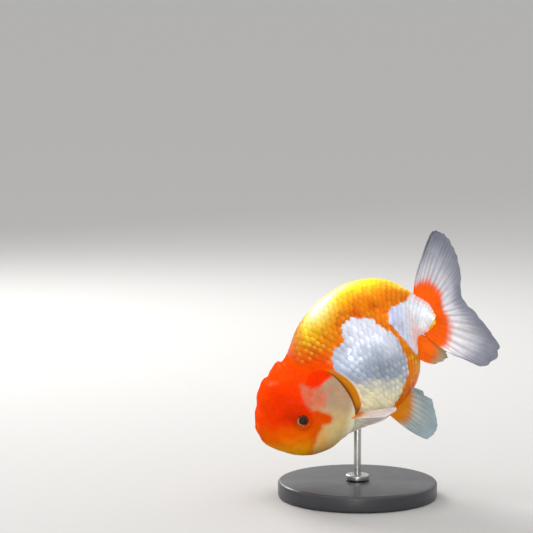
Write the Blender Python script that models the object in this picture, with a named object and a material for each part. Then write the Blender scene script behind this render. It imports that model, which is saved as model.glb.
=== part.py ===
"""A ranchu goldfish at life size, swimming nose-down, on a plain display stand.

Run with: blender --background --python part.py

Frame: metres, +Z up. The snout points to -X and the fish's left side faces -Y. The origin is the
middle of the stand base's underside, on the surface that the stand rests on. Sizes below are in
millimetres and become metres when a point is made.

The body is one smooth shape, lofted through cross-sections from snout to tail root. The head, trunk
and peduncle are lengths of it, parted by thin cuts. Every fin is a fan stretched over its key rays.
"""

import math
from typing import NamedTuple

import bmesh
import bpy
from mathutils import Matrix, Vector

MM = 0.001
GAP = 0.3  # clearance between neighbouring solids
TRIM = 0.6  # the same where a fin meets the faceted flank

# ---------------------------------------------------------------- driving dimensions, millimetres

BASE_RADIUS = 44.0
BASE_HEIGHT = 9.0
BASE_BEVEL = 1.6
COLLAR_RADIUS = 6.5
COLLAR_HEIGHT = 3.0
COLLAR_BEVEL = 0.6
ROD_RADIUS = 2.0
ROD_TOP = 46.0  # inside the belly, where the body's own shape cuts the rod off
ROD_SINK = 5.0  # how far the rod goes down into the collar and base

EYE_RADIUS = 4.3
EYE_CENTRE = (-33.2, -20.6, 46.9)  # the left eye; the right one mirrors it
EYE_OVAL = 0.92  # height of the eyeball over its length

GILL_LIFT = 1.1  # how far the gill cover and wen stand above the trunk
GILL_SLOPE = (1.6, 0.3)  # where that rise starts and is complete, in sections ahead of the edge
GILL_REACH = (0.0, 0.02, 0.22, 0.8, 1.12, 1.02, 0.58, 0.08, 0.0)  # sections past the nape, back to belly
NAPE = 6.0  # the section where head and trunk meet on the back and breast
PEDUNCLE_START = 11.55  # the section where the trunk ends

FOLD_DEPTH = 2.6  # the valley between the round belly and the peduncle
FOLD_WIDTH = 19.0  # degrees
FOLD_START = (8.8, 10.6)  # the sections over which it deepens
FOLD_END = (11.8, 12.8)  # the sections over which it fades out
FOLD_ANGLE = 48.0  # degrees from the back at section FOLD_ORIGIN
FOLD_ORIGIN = 9.0
FOLD_TURN = 26.0  # degrees further round for each section

FACING_AHEAD = 4.0  # up to this section, the way out of the body turns towards straight ahead


class Section(NamedTuple):
    """A cross-section of the body: its middle, its lean towards the snout, and its half-sizes."""

    name: str
    x: float
    z: float
    lean: float  # degrees
    half_height: float
    half_width: float
    low: float  # how far below the middle it is widest, over the half-height
    square: float  # 2 is an ellipse, more is boxier


SECTIONS = (
    Section("mouth", -55.8, 38.6, 11.0, 0.0, 0.0, 0.0, 2.0),
    Section("muzzle", -55.3, 39.8, 11.5, 6.4, 8.8, 0.0, 2.1),
    Section("nostrils", -52.6, 43.4, 12.5, 13.6, 16.4, 0.0, 2.3),
    Section("forehead", -46.0, 46.4, 15.5, 21.0, 21.4, 0.02, 2.5),
    Section("eyes", -38.2, 48.2, 21.5, 25.6, 23.2, 0.04, 2.5),
    Section("crown", -30.2, 51.3, 30.0, 27.2, 23.8, 0.05, 2.4),
    Section("nape", -24.0, 55.3, 37.5, 26.4, 23.6, 0.05, 2.3),
    Section("shoulder", -14.8, 66.8, 34.5, 33.3, 24.6, 0.06, 2.2),
    Section("front belly", -4.2, 75.4, 30.5, 37.4, 26.6, 0.10, 2.1),
    Section("deep belly", 6.9, 84.5, 27.5, 36.7, 26.6, 0.14, 2.0),
    Section("rear belly", 17.4, 91.5, 26.0, 32.8, 23.4, 0.14, 2.0),
    Section("vent", 24.5, 96.8, 22.5, 25.9, 17.4, 0.10, 2.0),
    Section("peduncle", 28.6, 100.0, 14.0, 17.0, 11.4, 0.0, 2.0),
    Section("tail wrist", 32.8, 100.2, 4.0, 11.6, 8.8, 0.0, 2.0),
    Section("scale edge", 39.4, 99.4, 0.0, 8.8, 6.4, 0.0, 2.0),
    Section("tail stump", 42.6, 99.2, 0.0, 5.2, 3.6, 0.0, 2.0),
    Section("tail root", 43.6, 99.2, 0.0, 0.0, 0.0, 0.0, 2.0),
)
LAST = len(SECTIONS) - 1


class Lobe(NamedTuple):
    """A soft swelling, or with a negative height a hollow, at a place on the left side."""

    name: str
    x: float
    y: float
    z: float
    height: float
    spread: float


LOBES = (
    Lobe("crown pad", -45.0, 0.0, 72.0, 0.9, 5.0),
    Lobe("crease before the crown", -50.5, 0.0, 66.0, -0.9, 1.8),
    Lobe("brow crease", -53.4, 0.0, 61.8, -0.5, 1.6),
    Lobe("temple pad", -31.0, -20.0, 65.0, 1.1, 5.0),
    Lobe("brow pad", -43.0, -18.0, 58.0, 0.9, 4.5),
    Lobe("side of the crown", -38.0, -12.0, 74.0, 0.7, 4.5),
    Lobe("snout pad", -54.0, -9.0, 50.0, 0.9, 4.0),
    Lobe("nostril flap", -54.6, -5.6, 47.2, 1.1, 1.5),
    Lobe("muzzle pad", -54.0, -10.0, 38.0, 1.0, 3.6),
    Lobe("mouth hollow", -56.0, 0.0, 38.6, -1.8, 4.4),
    Lobe("chin pad", -50.0, -5.0, 31.0, 0.6, 4.0),
    Lobe("cheek pad", -42.0, -19.0, 35.0, 1.2, 5.0),
    Lobe("hollow round the eye", -33.4, -23.0, 46.0, -1.1, 4.2),
    Lobe("hollow behind the eye", -24.0, -24.0, 58.0, -0.7, 3.6),
    Lobe("gill cover pad", -17.0, -23.0, 50.0, 1.1, 7.0),
    Lobe("jowl", -24.0, -17.0, 35.0, 0.9, 5.5),
)


LIP_HEIGHT = 1.5
LIP_WIDTH = 3.8  # from the mouth's middle to the crest of the lips, sideways
LIP_RISE = 2.3  # the same, upwards
LIP_SOFTNESS = 0.42
LIP_REACH = 6.0  # how far behind the tip of the snout the lips can be
MOUTH_DEPTH = 1.6
MOUTH_SIZE = 0.55  # over the size of the ring of the lips


class Ray(NamedTuple):
    """A key ray of a fin on the left side: its root, its tip and how far its middle bows."""

    name: str
    root: tuple[float, float, float]
    tip: tuple[float, float, float]
    bow: tuple[float, float, float] = (0.0, 0.0, 0.0)


TAIL_RAYS = (
    Ray("front edge", (31.0, -1.5, 108.4), (38.8, -2.8, 139.4), (-2.4, -0.3, -0.6)),
    Ray("upper tip", (33.0, -1.8, 107.2), (41.4, -3.6, 145.6), (-1.8, -0.6, 0.0)),
    Ray("crest", (34.6, -2.2, 106.0), (46.0, -5.6, 145.8), (-0.8, -0.9, 0.0)),
    Ray("upper rear", (35.8, -2.8, 104.4), (51.4, -9.0, 137.4), (0.0, -1.2, 0.0)),
    Ray("above the fork", (36.8, -3.2, 102.6), (54.0, -13.0, 126.0), (0.0, -1.5, 0.0)),
    Ray("fork", (37.4, -3.4, 100.8), (54.6, -17.0, 112.0), (0.0, -1.5, 0.0)),
    Ray("lower shoulder", (37.6, -3.4, 99.0), (62.8, -24.0, 101.4), (0.0, -1.5, 0.8)),
    Ray("lower tip", (37.2, -3.2, 96.8), (72.0, -31.0, 86.6), (0.0, -1.0, 0.4)),
    Ray("lower heel", (36.4, -2.8, 94.4), (64.6, -30.0, 76.6), (0.0, 0.0, -1.2)),
    Ray("lower edge", (34.4, -2.2, 92.2), (53.4, -23.0, 79.0), (0.0, 0.6, -1.6)),
)
ANAL_RAYS = (
    Ray("front edge", (26.0, -2.0, 84.0), (41.4, -7.5, 74.2), (-0.6, 0.0, -2.2)),
    Ray("middle", (27.5, -1.8, 88.0), (47.6, -9.5, 77.8), (0.0, 0.0, -0.6)),
    Ray("rear edge", (30.5, -1.6, 91.0), (47.0, -8.0, 83.6), (0.0, 0.0, 0.8)),
)
PELVIC_RAYS = (
    Ray("front edge", (14.0, -8.0, 49.0), (32.6, -16.0, 34.8), (0.6, -0.6, -1.6)),
    Ray("tip", (16.5, -7.4, 51.0), (36.8, -17.5, 34.0), (0.4, -0.6, -0.6)),
    Ray("rear corner", (20.5, -6.6, 55.0), (41.4, -16.5, 41.4), (0.0, -0.4, 0.6)),
    Ray("rear edge", (24.0, -5.6, 59.0), (39.0, -13.5, 55.8), (0.0, -0.2, 1.4)),
)
PECTORAL_RAYS = (
    Ray("front edge", (-8.6, -18.0, 47.2), (9.6, -35.0, 50.4), (-2.6, -1.6, 0.0)),
    Ray("tip", (-7.2, -18.0, 48.2), (14.6, -35.0, 53.4), (-1.2, -1.2, 0.0)),
    Ray("rear corner", (-5.6, -18.0, 49.2), (16.0, -30.0, 54.6), (0.0, -1.6, 0.2)),
    Ray("rear edge", (-3.8, -18.0, 50.2), (11.6, -26.6, 53.6), (0.0, -1.8, 0.2)),
)
ROOT_THICKNESS = 1.2
MARGIN_THICKNESS = 0.6


class Finish(NamedTuple):
    """A plain material: linear colour, roughness and metallic value."""

    colour: tuple[float, float, float]
    roughness: float
    metallic: float = 0.0


WEN = Finish((0.90, 0.09, 0.01), 0.4)
SCALES = Finish((0.95, 0.45, 0.06), 0.3)
PALE_SCALES = Finish((0.80, 0.78, 0.82), 0.3)
FIN = Finish((0.85, 0.80, 0.80), 0.4)
ORANGE_FIN = Finish((0.90, 0.30, 0.05), 0.4)
EYE = Finish((0.03, 0.02, 0.02), 0.08)
STAND = Finish((0.03, 0.03, 0.035), 0.35)
STEEL = Finish((0.60, 0.60, 0.60), 0.28, 1.0)


# ---------------------------------------------------------------------------------- small helpers

def clear_scene():
    """Removes whatever the scene holds."""
    for thing in list(bpy.data.objects):
        bpy.data.objects.remove(thing, do_unlink=True)


def metres(x, y, z):
    """A point given in millimetres."""
    return Vector((x, y, z)) * MM


def smoothstep(low, high, value):
    """0 below low, 1 above high, and an even S-curve between them."""
    part = min(1.0, max(0.0, (value - low) / (high - low)))
    return part * part * (3.0 - 2.0 * part)


def spline(values, place):
    """The value at place, a fractional index, on a smooth curve through values."""
    last = len(values) - 1
    index = min(last - 1, max(0, int(place)))
    part = place - index
    before = values[max(0, index - 1)]
    start, end = values[index], values[index + 1]
    after = values[min(last, index + 2)]
    leave = (end - before) / (2.0 if index > 0 else 1.0)
    arrive = (after - start) / (2.0 if index + 2 <= last else 1.0)
    square, cube = part * part, part ** 3
    return (
        (2 * cube - 3 * square + 1) * start
        + (cube - 2 * square + part) * leave
        + (3 * square - 2 * cube) * end
        + (cube - square) * arrive
    )


def dressed(name, mesh, finish):
    """An object of this mesh in the scene, with a material of its own."""
    thing = bpy.data.objects.new(name, mesh)
    bpy.context.scene.collection.objects.link(thing)
    material = bpy.data.materials.new(name)
    material.use_nodes = True
    shader = material.node_tree.nodes["Principled BSDF"]
    shader.inputs["Base Color"].default_value = (*finish.colour, 1.0)
    shader.inputs["Roughness"].default_value = finish.roughness
    shader.inputs["Metallic"].default_value = finish.metallic
    mesh.materials.append(material)
    return thing


def mesh_from(bm, name, sharp=math.radians(50)):
    """Turns a bmesh into a smooth-shaded mesh with its faces pointing out."""
    bmesh.ops.triangulate(bm, faces=bm.faces, quad_method="SHORT_EDGE")
    bmesh.ops.recalc_face_normals(bm, faces=bm.faces)
    if bm.calc_volume(signed=True) < 0.0:
        bmesh.ops.reverse_faces(bm, faces=bm.faces)
    mesh = bpy.data.meshes.new(name)
    bm.to_mesh(mesh)
    bm.free()
    mesh.shade_smooth()
    mesh.set_sharp_from_angle(angle=sharp)
    return mesh


def cut_with(thing, cutter):
    """Takes the cutter's shape out of an object."""
    cut = thing.modifiers.new("Cut", "BOOLEAN")
    cut.operation = "DIFFERENCE"
    cut.solver = "EXACT"
    cut.object = cutter


def as_cutter(thing):
    """Marks an object as one that only cuts others."""
    thing.hide_render = True
    thing.display_type = "WIRE"
    return thing


# ------------------------------------------------------------------------------------- body shape

def section_at(place):
    """The body's cross-section at a fractional section index, as a Section."""
    columns = list(zip(*(section[1:] for section in SECTIONS)))
    return Section("between", *(spline(column, place) for column in columns))


def gill_line(angle):
    """The section index where the head ends, at this angle from the back (0) to the belly (pi)."""
    return NAPE + spline(GILL_REACH, abs(angle) / math.pi * (len(GILL_REACH) - 1))


def power(value, square):
    """A sine or cosine bent so that a circle becomes a rounded square."""
    return math.copysign(abs(value) ** (2.0 / square), value)


def head_lift(place, angle):
    """How far the gill cover and the rear of the wen stand above the trunk."""
    line = gill_line(angle)
    if place >= line:
        return 0.0
    start, full = GILL_SLOPE
    flank = 0.5 + 0.5 * math.sin(angle) ** 2
    return GILL_LIFT * flank * smoothstep(line - start, line - full, place)


def belly_fold(place, angle):
    """The valley that parts the round belly from the peduncle on the flank."""
    degrees = math.degrees(abs(angle))
    along = smoothstep(*FOLD_START, place) * (1.0 - smoothstep(*FOLD_END, place))
    middle = FOLD_ANGLE + FOLD_TURN * (place - FOLD_ORIGIN)
    return -FOLD_DEPTH * along * math.exp(-((degrees - middle) / FOLD_WIDTH) ** 2)


def lobes_at(point):
    """The sum of the wen's swellings and hollows at a point, both sides alike."""
    total = 0.0
    for lobe in LOBES:
        away = (point.x - lobe.x) ** 2 + (abs(point.y) + lobe.y) ** 2 + (point.z - lobe.z) ** 2
        total += lobe.height * math.exp(-away / (2.0 * lobe.spread ** 2))
    return total


def lips_at(point):
    """The ring of the lips round the small closed mouth, which lies a little deeper."""
    mouth = SECTIONS[0]
    if point.x > mouth.x + LIP_REACH:
        return 0.0
    out = math.hypot(point.y / LIP_WIDTH, (point.z - mouth.z) / LIP_RISE)
    ring = LIP_HEIGHT * math.exp(-((out - 1.0) / LIP_SOFTNESS) ** 2)
    return ring - MOUTH_DEPTH * math.exp(-((out / MOUTH_SIZE) ** 2))


def outwards(place, out, upwards):
    """The way out of the body, which turns from sideways to straight ahead near the mouth."""
    ahead = upwards.cross(Vector((0.0, 1.0, 0.0)))
    turn = smoothstep(0.0, FACING_AHEAD, place)
    if turn >= 1.0:
        return out.normalized()
    sideways = out.normalized() if out.length > 1e-6 else Vector((0.0, 0.0, 0.0))
    return (sideways * math.sin(turn * math.pi / 2) + ahead * math.cos(turn * math.pi / 2)).normalized()


def body_point(place, angle, grow=0.0):
    """A point of the body's surface, in metres.

    place is the section index, angle goes from the back (0) over the left flank to the belly (pi),
    and grow moves the point outwards by that many millimetres.
    """
    section = section_at(place)
    lean = math.radians(section.lean)
    upwards = Vector((-math.sin(lean), 0.0, math.cos(lean)))
    middle = Vector((section.x, 0.0, section.z)) - upwards * (section.low * section.half_height)
    rise = power(math.cos(angle), section.square)
    reach = section.half_height * (1.0 + section.low if rise > 0.0 else 1.0 - section.low)
    out = upwards * (reach * rise) + Vector(
        (0.0, -section.half_width * power(math.sin(angle), section.square), 0.0)
    )
    point = middle + out
    relief = head_lift(place, angle) + belly_fold(place, angle) + lobes_at(point) + lips_at(point)
    return (point + outwards(place, out, upwards) * (relief + grow)) * MM


def spine_point(place):
    """The middle of the body at a section index, in metres."""
    section = section_at(place)
    return metres(section.x, 0.0, section.z)


def body_length(name, around, rows, point_at, front, rear):
    """A closed length of the body.

    point_at(part, angle) gives the surface point at part 0..1 of the way from front to rear, which
    are the points that close the two ends.
    """
    bm = bmesh.new()
    bmesh.ops.create_uvsphere(bm, u_segments=around, v_segments=rows + 1, radius=1.0)
    for vertex in bm.verts:
        polar = math.acos(max(-1.0, min(1.0, vertex.co.z)))
        row = round(polar / math.pi * (rows + 1))
        if row == 0:
            vertex.co = front
        elif row == rows + 1:
            vertex.co = rear
        else:
            angle = math.atan2(vertex.co.x, vertex.co.y)
            vertex.co = point_at((row - 1) / (rows - 1), angle)
    return mesh_from(bm, name)


# ------------------------------------------------------------------------------- the body's nodes

AROUND = 36
HEAD_ROWS = 22
TRUNK_ROWS = 21
PEDUNCLE_ROWS = 13
CUTTER_ROWS = 60
END_STEP = 0.28  # from an end of the loft to the first ring of points, in sections
CUT_STEP = 0.03  # half of a cut's width, in sections
HEAD_END = 6.6  # where the head's rear face meets the spine
CUT_SHIFT = Vector((0.0003, 0.0, 0.0003))  # half of that cut's width at the spine, metres


def make_head():
    """The head with its wen and gill covers, with sockets for the eyes."""

    def point_at(part, angle):
        rear = gill_line(angle) - CUT_STEP
        return body_point(END_STEP + (rear - END_STEP) * part, angle)

    front = body_point(0.0, 0.0)
    rear = spine_point(HEAD_END) - CUT_SHIFT
    head = dressed("head", body_length("head", AROUND, HEAD_ROWS, point_at, front, rear), WEN)
    for side in (-1, 1):
        socket = eyeball(f"socket_cutter_{side}", side, EYE_RADIUS + GAP, EYE)
        cut_with(head, as_cutter(socket))
    return head


def make_trunk():
    """The trunk, from the gill covers to the vent."""

    def point_at(part, angle):
        start = gill_line(angle) + CUT_STEP
        return body_point(start + (PEDUNCLE_START - CUT_STEP - start) * part, angle)

    front = spine_point(HEAD_END) + CUT_SHIFT
    rear = spine_point(PEDUNCLE_START - CUT_STEP)
    return dressed("trunk", body_length("trunk", AROUND, TRUNK_ROWS, point_at, front, rear), SCALES)


def make_peduncle():
    """The narrow part of the body that carries the tail."""

    def point_at(part, angle):
        start = PEDUNCLE_START + CUT_STEP
        return body_point(start + (LAST - END_STEP - start) * part, angle)

    front = spine_point(PEDUNCLE_START + CUT_STEP)
    rear = body_point(LAST, 0.0)
    mesh = body_length("peduncle", AROUND, PEDUNCLE_ROWS, point_at, front, rear)
    return dressed("peduncle", mesh, PALE_SCALES)


def eyeball(name, side, radius, finish):
    """A slightly oval ball in the place of an eye; side is -1 for the left and 1 for the right."""
    bm = bmesh.new()
    x, y, z = EYE_CENTRE
    place = Matrix.Translation(metres(x, -side * y, z)) @ Matrix.Rotation(math.pi / 2, 4, "X")
    shape = Matrix.Diagonal((1.0, EYE_OVAL, 1.0, 1.0))
    bmesh.ops.create_uvsphere(
        bm, u_segments=16, v_segments=8, radius=radius * MM, matrix=place @ shape
    )
    return dressed(name, mesh_from(bm, name), finish)


# ------------------------------------------------------------------------------------------- fins

def ray_point(rays, across, along):
    """The point of a fin's middle surface: across 0..1 over the rays, along 0..1 from root to tip."""
    place = across * (len(rays) - 1)

    def between(pick):
        return Vector([spline([pick(ray)[axis] for ray in rays], place) for axis in range(3)])

    root = between(lambda ray: ray.root)
    tip = between(lambda ray: ray.tip)
    bow = between(lambda ray: ray.bow)
    return root.lerp(tip, along) + bow * (4.0 * along * (1.0 - along))


def fin_point(rays, across, along, face):
    """A point on one face (-1 or 1) of a fin that thins from root to margin."""
    step = 0.01
    point = ray_point(rays, across, along)
    over = ray_point(rays, min(1.0, across + step), along) - ray_point(
        rays, max(0.0, across - step), along
    )
    out = ray_point(rays, across, along + step) - ray_point(rays, across, along - step)
    normal = over.cross(out).normalized()
    thickness = ROOT_THICKNESS + (MARGIN_THICKNESS - ROOT_THICKNESS) * along
    return point + normal * (face * thickness / 2.0)


def make_fin(name, rays, side, columns, rows, finish, body):
    """A closed fin; side is -1 for the left and 1 for the right. The body cuts its root to fit."""
    bm = bmesh.new()
    bmesh.ops.create_grid(bm, x_segments=columns, y_segments=rows, size=1.0)
    lower = list(bm.verts)
    copied = bmesh.ops.extrude_face_region(bm, geom=list(bm.faces), use_keep_orig=True)
    upper = [item for item in copied["geom"] if isinstance(item, bmesh.types.BMVert)]
    for face, vertices in ((-1, lower), (1, upper)):
        for vertex in vertices:
            across, along = (vertex.co.x + 1.0) / 2.0, (vertex.co.y + 1.0) / 2.0
            point = fin_point(rays, across, along, face)
            vertex.co = metres(point.x, -side * point.y, point.z)
    fin = dressed(name, mesh_from(bm, name), finish)
    cut_with(fin, body)
    return fin


def make_fins(body):
    """The tail's two halves and the three pairs of smaller fins."""
    plans = (
        ("tail_fin", TAIL_RAYS, 20, 7, FIN),
        ("anal_fin", ANAL_RAYS, 8, 5, ORANGE_FIN),
        ("pelvic_fin", PELVIC_RAYS, 10, 6, FIN),
        ("pectoral_fin", PECTORAL_RAYS, 8, 6, ORANGE_FIN),
    )
    for name, rays, columns, rows, finish in plans:
        for side, word in ((-1, "left"), (1, "right")):
            make_fin(f"{name}_{word}", rays, side, columns, rows, finish, body)


# ------------------------------------------------------------------------------------------ stand

def turned(name, radius, low, high, segments, bevel, finish):
    """An upright disc or rod with rounded rims, from height low to height high."""
    bm = bmesh.new()
    bmesh.ops.create_cone(
        bm,
        cap_ends=True,
        segments=segments,
        radius1=radius * MM,
        radius2=radius * MM,
        depth=(high - low) * MM,
        matrix=Matrix.Translation(metres(0.0, 0.0, (low + high) / 2.0)),
    )
    if bevel:
        rims = [edge for edge in bm.edges if any(len(face.verts) > 4 for face in edge.link_faces)]
        bmesh.ops.bevel(
            bm,
            geom=rims,
            offset=bevel * MM,
            segments=2,
            profile=0.5,
            affect="EDGES",
            material=-1,
        )
    return dressed(name, mesh_from(bm, name), finish)


def make_stand(body):
    """A round base, a collar on it and one rod up into the belly."""
    base = turned("stand_base", BASE_RADIUS, 0.0, BASE_HEIGHT, 44, BASE_BEVEL, STAND)
    floor = BASE_HEIGHT + GAP
    collar = turned("stand_collar", COLLAR_RADIUS, floor, floor + COLLAR_HEIGHT, 20, COLLAR_BEVEL, STEEL)
    foot = BASE_HEIGHT - ROD_SINK
    rod = turned("stand_rod", ROD_RADIUS, foot, ROD_TOP, 16, 0.0, STEEL)
    hole = turned("rod_hole_cutter", ROD_RADIUS + GAP, foot - GAP, ROD_TOP, 16, 0.0, STEEL)
    as_cutter(hole)
    cut_with(base, hole)
    cut_with(collar, hole)
    cut_with(rod, body)


def make_body_cutter():
    """The whole body, a little larger, which trims the fins' roots and the rod's top."""
    start, end = END_STEP, LAST - END_STEP

    def point_at(part, angle):
        return body_point(start + (end - start) * part, angle, TRIM)

    front = body_point(0.0, 0.0) - metres(GAP, 0.0, 0.0)
    rear = body_point(LAST, 0.0) + metres(GAP, 0.0, 0.0)
    mesh = body_length("body_cutter", AROUND, CUTTER_ROWS, point_at, front, rear)
    return as_cutter(dressed("body_cutter", mesh, STEEL))


def main():
    """Builds the fish and its stand."""
    clear_scene()
    body = make_body_cutter()
    make_head()
    make_trunk()
    make_peduncle()
    for side, word in ((-1, "left"), (1, "right")):
        eyeball(f"eye_{word}", side, EYE_RADIUS, EYE)
    make_fins(body)
    make_stand(body)


main()
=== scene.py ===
"""The looks of a life-size ranchu goldfish on its display stand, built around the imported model.

Frame: metres, +Z up, the snout towards -X and the fish's left side towards -Y. Sizes are written in
millimetres and turned to metres when a mesh is finished.

One skin covers head, trunk and peduncle. Separate overlapping scales lie over it, and every fin is a
membrane stretched over branching rays. Skin and scales take their colours from the same markings.
"""

import logging
import math
from dataclasses import dataclass
from enum import Enum
from itertools import product
from typing import NamedTuple

import bmesh
import bpy
import numpy as np
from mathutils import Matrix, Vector


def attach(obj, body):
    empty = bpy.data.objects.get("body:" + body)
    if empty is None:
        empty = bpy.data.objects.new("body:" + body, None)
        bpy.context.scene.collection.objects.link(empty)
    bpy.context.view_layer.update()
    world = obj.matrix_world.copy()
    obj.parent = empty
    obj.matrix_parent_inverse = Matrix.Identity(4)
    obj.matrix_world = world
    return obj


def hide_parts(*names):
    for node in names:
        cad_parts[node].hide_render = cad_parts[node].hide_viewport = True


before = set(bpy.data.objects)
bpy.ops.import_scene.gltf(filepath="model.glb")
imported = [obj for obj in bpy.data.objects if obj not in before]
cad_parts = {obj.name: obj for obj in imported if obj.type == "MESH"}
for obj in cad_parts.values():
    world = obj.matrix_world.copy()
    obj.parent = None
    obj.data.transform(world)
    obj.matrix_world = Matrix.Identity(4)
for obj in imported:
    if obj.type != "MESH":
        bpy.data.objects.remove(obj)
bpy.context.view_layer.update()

log = logging.getLogger("ranchu")
MM = 0.001
Array = np.ndarray
Ramp = tuple[float, float]
Spot = tuple[float, float]
Place = tuple[float, float, float]


class Side(Enum):
    """The fish's left and right, as the sign of Y."""

    LEFT = -1
    RIGHT = 1

    @property
    def word(self) -> str:
        """The side's name as the model's nodes spell it."""
        return self.name.lower()


# -------------------- plain arithmetic


def smoothstep(low: float | Array, high: float | Array, value: float | Array) -> Array:
    """An even S-curve, which leaves 0 at low and reaches 1 at high."""
    part = np.clip((value - low) / (high - low), 0.0, 1.0)
    return part * part * (3.0 - 2.0 * part)


def fade(low: float | Array, high: float | Array, value: float | Array) -> Array:
    """The S-curve turned over: 1 below low and 0 above high."""
    return 1.0 - smoothstep(low, high, value)


def bell(distance: float | Array, spread: float) -> Array:
    """A rounded hill: 1 at distance 0, falling off over the spread."""
    return np.exp(-((distance / spread) ** 2))


def powered(wave: Array, power: float | Array) -> Array:
    """A sine or cosine raised to a power, with its sign kept."""
    return np.sign(wave) * np.abs(wave) ** power


def spline(values: tuple[float, ...] | Array, place: float | Array) -> Array:
    """Reads a smooth curve through values.

    Args:
        values: One value for each whole index.
        place: Fractional indices.

    Returns:
        The curve's value at each place.
    """
    values = np.asarray(values, float)
    place = np.asarray(place, float)
    last = len(values) - 1
    index = np.clip(place.astype(int), 0, last - 1)
    part = place - index
    start, end = values[index], values[index + 1]
    before, after = values[np.maximum(index - 1, 0)], values[np.minimum(index + 2, last)]
    leave = (end - before) / np.where(index > 0, 2.0, 1.0)
    arrive = (after - start) / np.where(index + 2 <= last, 2.0, 1.0)
    square, cube = part * part, part**3
    return (
        (2 * cube - 3 * square + 1) * start
        + (cube - 2 * square + part) * leave
        + (3 * square - 2 * cube) * end
        + (cube - square) * arrive
    )


def hashed(cells: Array, seed: int) -> Array:
    """A fixed pseudo-random number for each whole-numbered cell.

    Args:
        cells: The cells' places, one row each.
        seed: Which of many patterns.

    Returns:
        Numbers from 0 to 1.
    """
    whole = cells.astype(np.int64)
    mixed = whole[..., 0] * 73856093 ^ whole[..., 1] * 19349663 ^ whole[..., 2] * 83492791
    mixed = (mixed ^ (seed * 2654435761)) & 0xFFFFFFFF
    mixed = ((mixed ^ (mixed >> 15)) * 2246822519) & 0xFFFFFFFF
    mixed = ((mixed ^ (mixed >> 13)) * 3266489917) & 0xFFFFFFFF
    return (mixed ^ (mixed >> 16)) / 4294967296.0


def ripple(points: Array, size: float, seed: int) -> Array:
    """Smooth noise.

    Args:
        points: Places, in millimetres.
        size: The size of its swells, in millimetres.
        seed: Which of many patterns.

    Returns:
        Values from -1 to 1.
    """
    cell = points / size
    base = np.floor(cell)
    part = cell - base
    part = part * part * (3.0 - 2.0 * part)
    total = np.zeros(points.shape[:-1])
    for corner in product((0, 1), repeat=3):
        weight = np.prod(np.where(corner, part, 1.0 - part), axis=-1)
        total += weight * hashed(base + corner, seed)
    return total * 2.0 - 1.0


def swirl(points: Array, size: float, seed: int) -> Array:
    """Two rows of smooth noise, one to move a border along the fish and one to move it up."""
    return np.stack([ripple(points, size, seed), ripple(points, size, seed + 1)])


def flutter(values: Array, size: float, seed: int) -> Array:
    """Smooth noise along a line, as ripple gives it in space."""
    return ripple(np.stack([values, 0 * values, 0 * values], axis=1), size, seed)


def pebbles(points: Array, size: float, seed: int) -> Array:
    """Rounded grains packed side by side.

    Args:
        points: Places, in millimetres.
        size: A grain's size, in millimetres.
        seed: Which of many patterns.

    Returns:
        1 on top of a grain, falling to 0 in the creases between grains.
    """
    cell = points / size
    base = np.floor(cell)
    nearest = np.ones(points.shape[:-1])
    for corner in product((-1, 0, 1), repeat=3):
        here = base + corner
        middle = here + np.stack([hashed(here, seed + axis) for axis in range(3)], axis=-1)
        nearest = np.minimum(nearest, ((cell - middle) ** 2).sum(axis=-1))
    return 1.0 - nearest


def off_stretch(x: Array, z: Array, start: Spot, end: Spot) -> tuple[Array, Array]:
    """Where points lie beside a straight stretch.

    Args:
        x: Places along the fish, in millimetres.
        z: Heights, in millimetres.
        start: The stretch's first end, as X and Z.
        end: Its other end.

    Returns:
        How far along the stretch each point is, from 0 to 1, and how far away from it.
    """
    (x0, z0), (x1, z1) = start, end
    run, rise = x1 - x0, z1 - z0
    part = np.clip(((x - x0) * run + (z - z0) * rise) / (run**2 + rise**2), 0.0, 1.0)
    return part, np.hypot(x - x0 - part * run, z - z0 - part * rise)


# -------------------- colours


def colour(code: str) -> Array:
    """The linear colour of a hexadecimal code such as FF8A00."""
    shown = np.array([int(code[at : at + 2], 16) / 255.0 for at in (0, 2, 4)])
    return np.where(shown <= 0.04045, shown / 12.92, ((shown + 0.055) / 1.055) ** 2.4)


def opaque(code: str) -> tuple[float, ...]:
    """A hexadecimal code's linear colour as a socket takes it, fully opaque."""
    return (*colour(code), 1.0)


def blend(first: Array, second: Array, share: Array) -> Array:
    """Mixes two sets of colours; share 1 is all second."""
    return first + (second - first) * np.asarray(share)[..., None]


def over(shade: Array, code: str, share: Array) -> Array:
    """Lays a colour over others; share 1 covers them."""
    return blend(shade, colour(code), share)


class Oval(NamedTuple):
    """A soft oval spot: its middle and its spread, in any two directions."""

    first: float
    second: float
    spread: float
    second_spread: float

    def at(self, first: Array, second: Array) -> Array:
        """How much of the spot there is at each point, 1 in its middle."""
        out = np.hypot((first - self.first) / self.spread, (second - self.second) / self.second_spread)
        return bell(out, 1.0)


# -------------------- mesh helpers


def coordinates(mesh: bpy.types.Mesh) -> Array:
    """A mesh's points, one row each."""
    flat = np.empty(len(mesh.vertices) * 3, np.float32)
    mesh.vertices.foreach_get("co", flat)
    return flat.reshape(-1, 3).astype(float)


def place_points(mesh: bpy.types.Mesh, points: Array) -> None:
    """Moves a mesh's points to new places in millimetres, one row each."""
    mesh.vertices.foreach_set("co", (points * MM).astype(np.float32).ravel())
    mesh.update()


def meshed(bm: bmesh.types.BMesh, name: str) -> bpy.types.Mesh:
    """Turns a bmesh into a new mesh.

    Args:
        bm: The bmesh, which is freed.
        name: The mesh's name.

    Returns:
        The mesh.
    """
    mesh = bpy.data.meshes.new(name)
    bm.to_mesh(mesh)
    bm.free()
    return mesh


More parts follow.
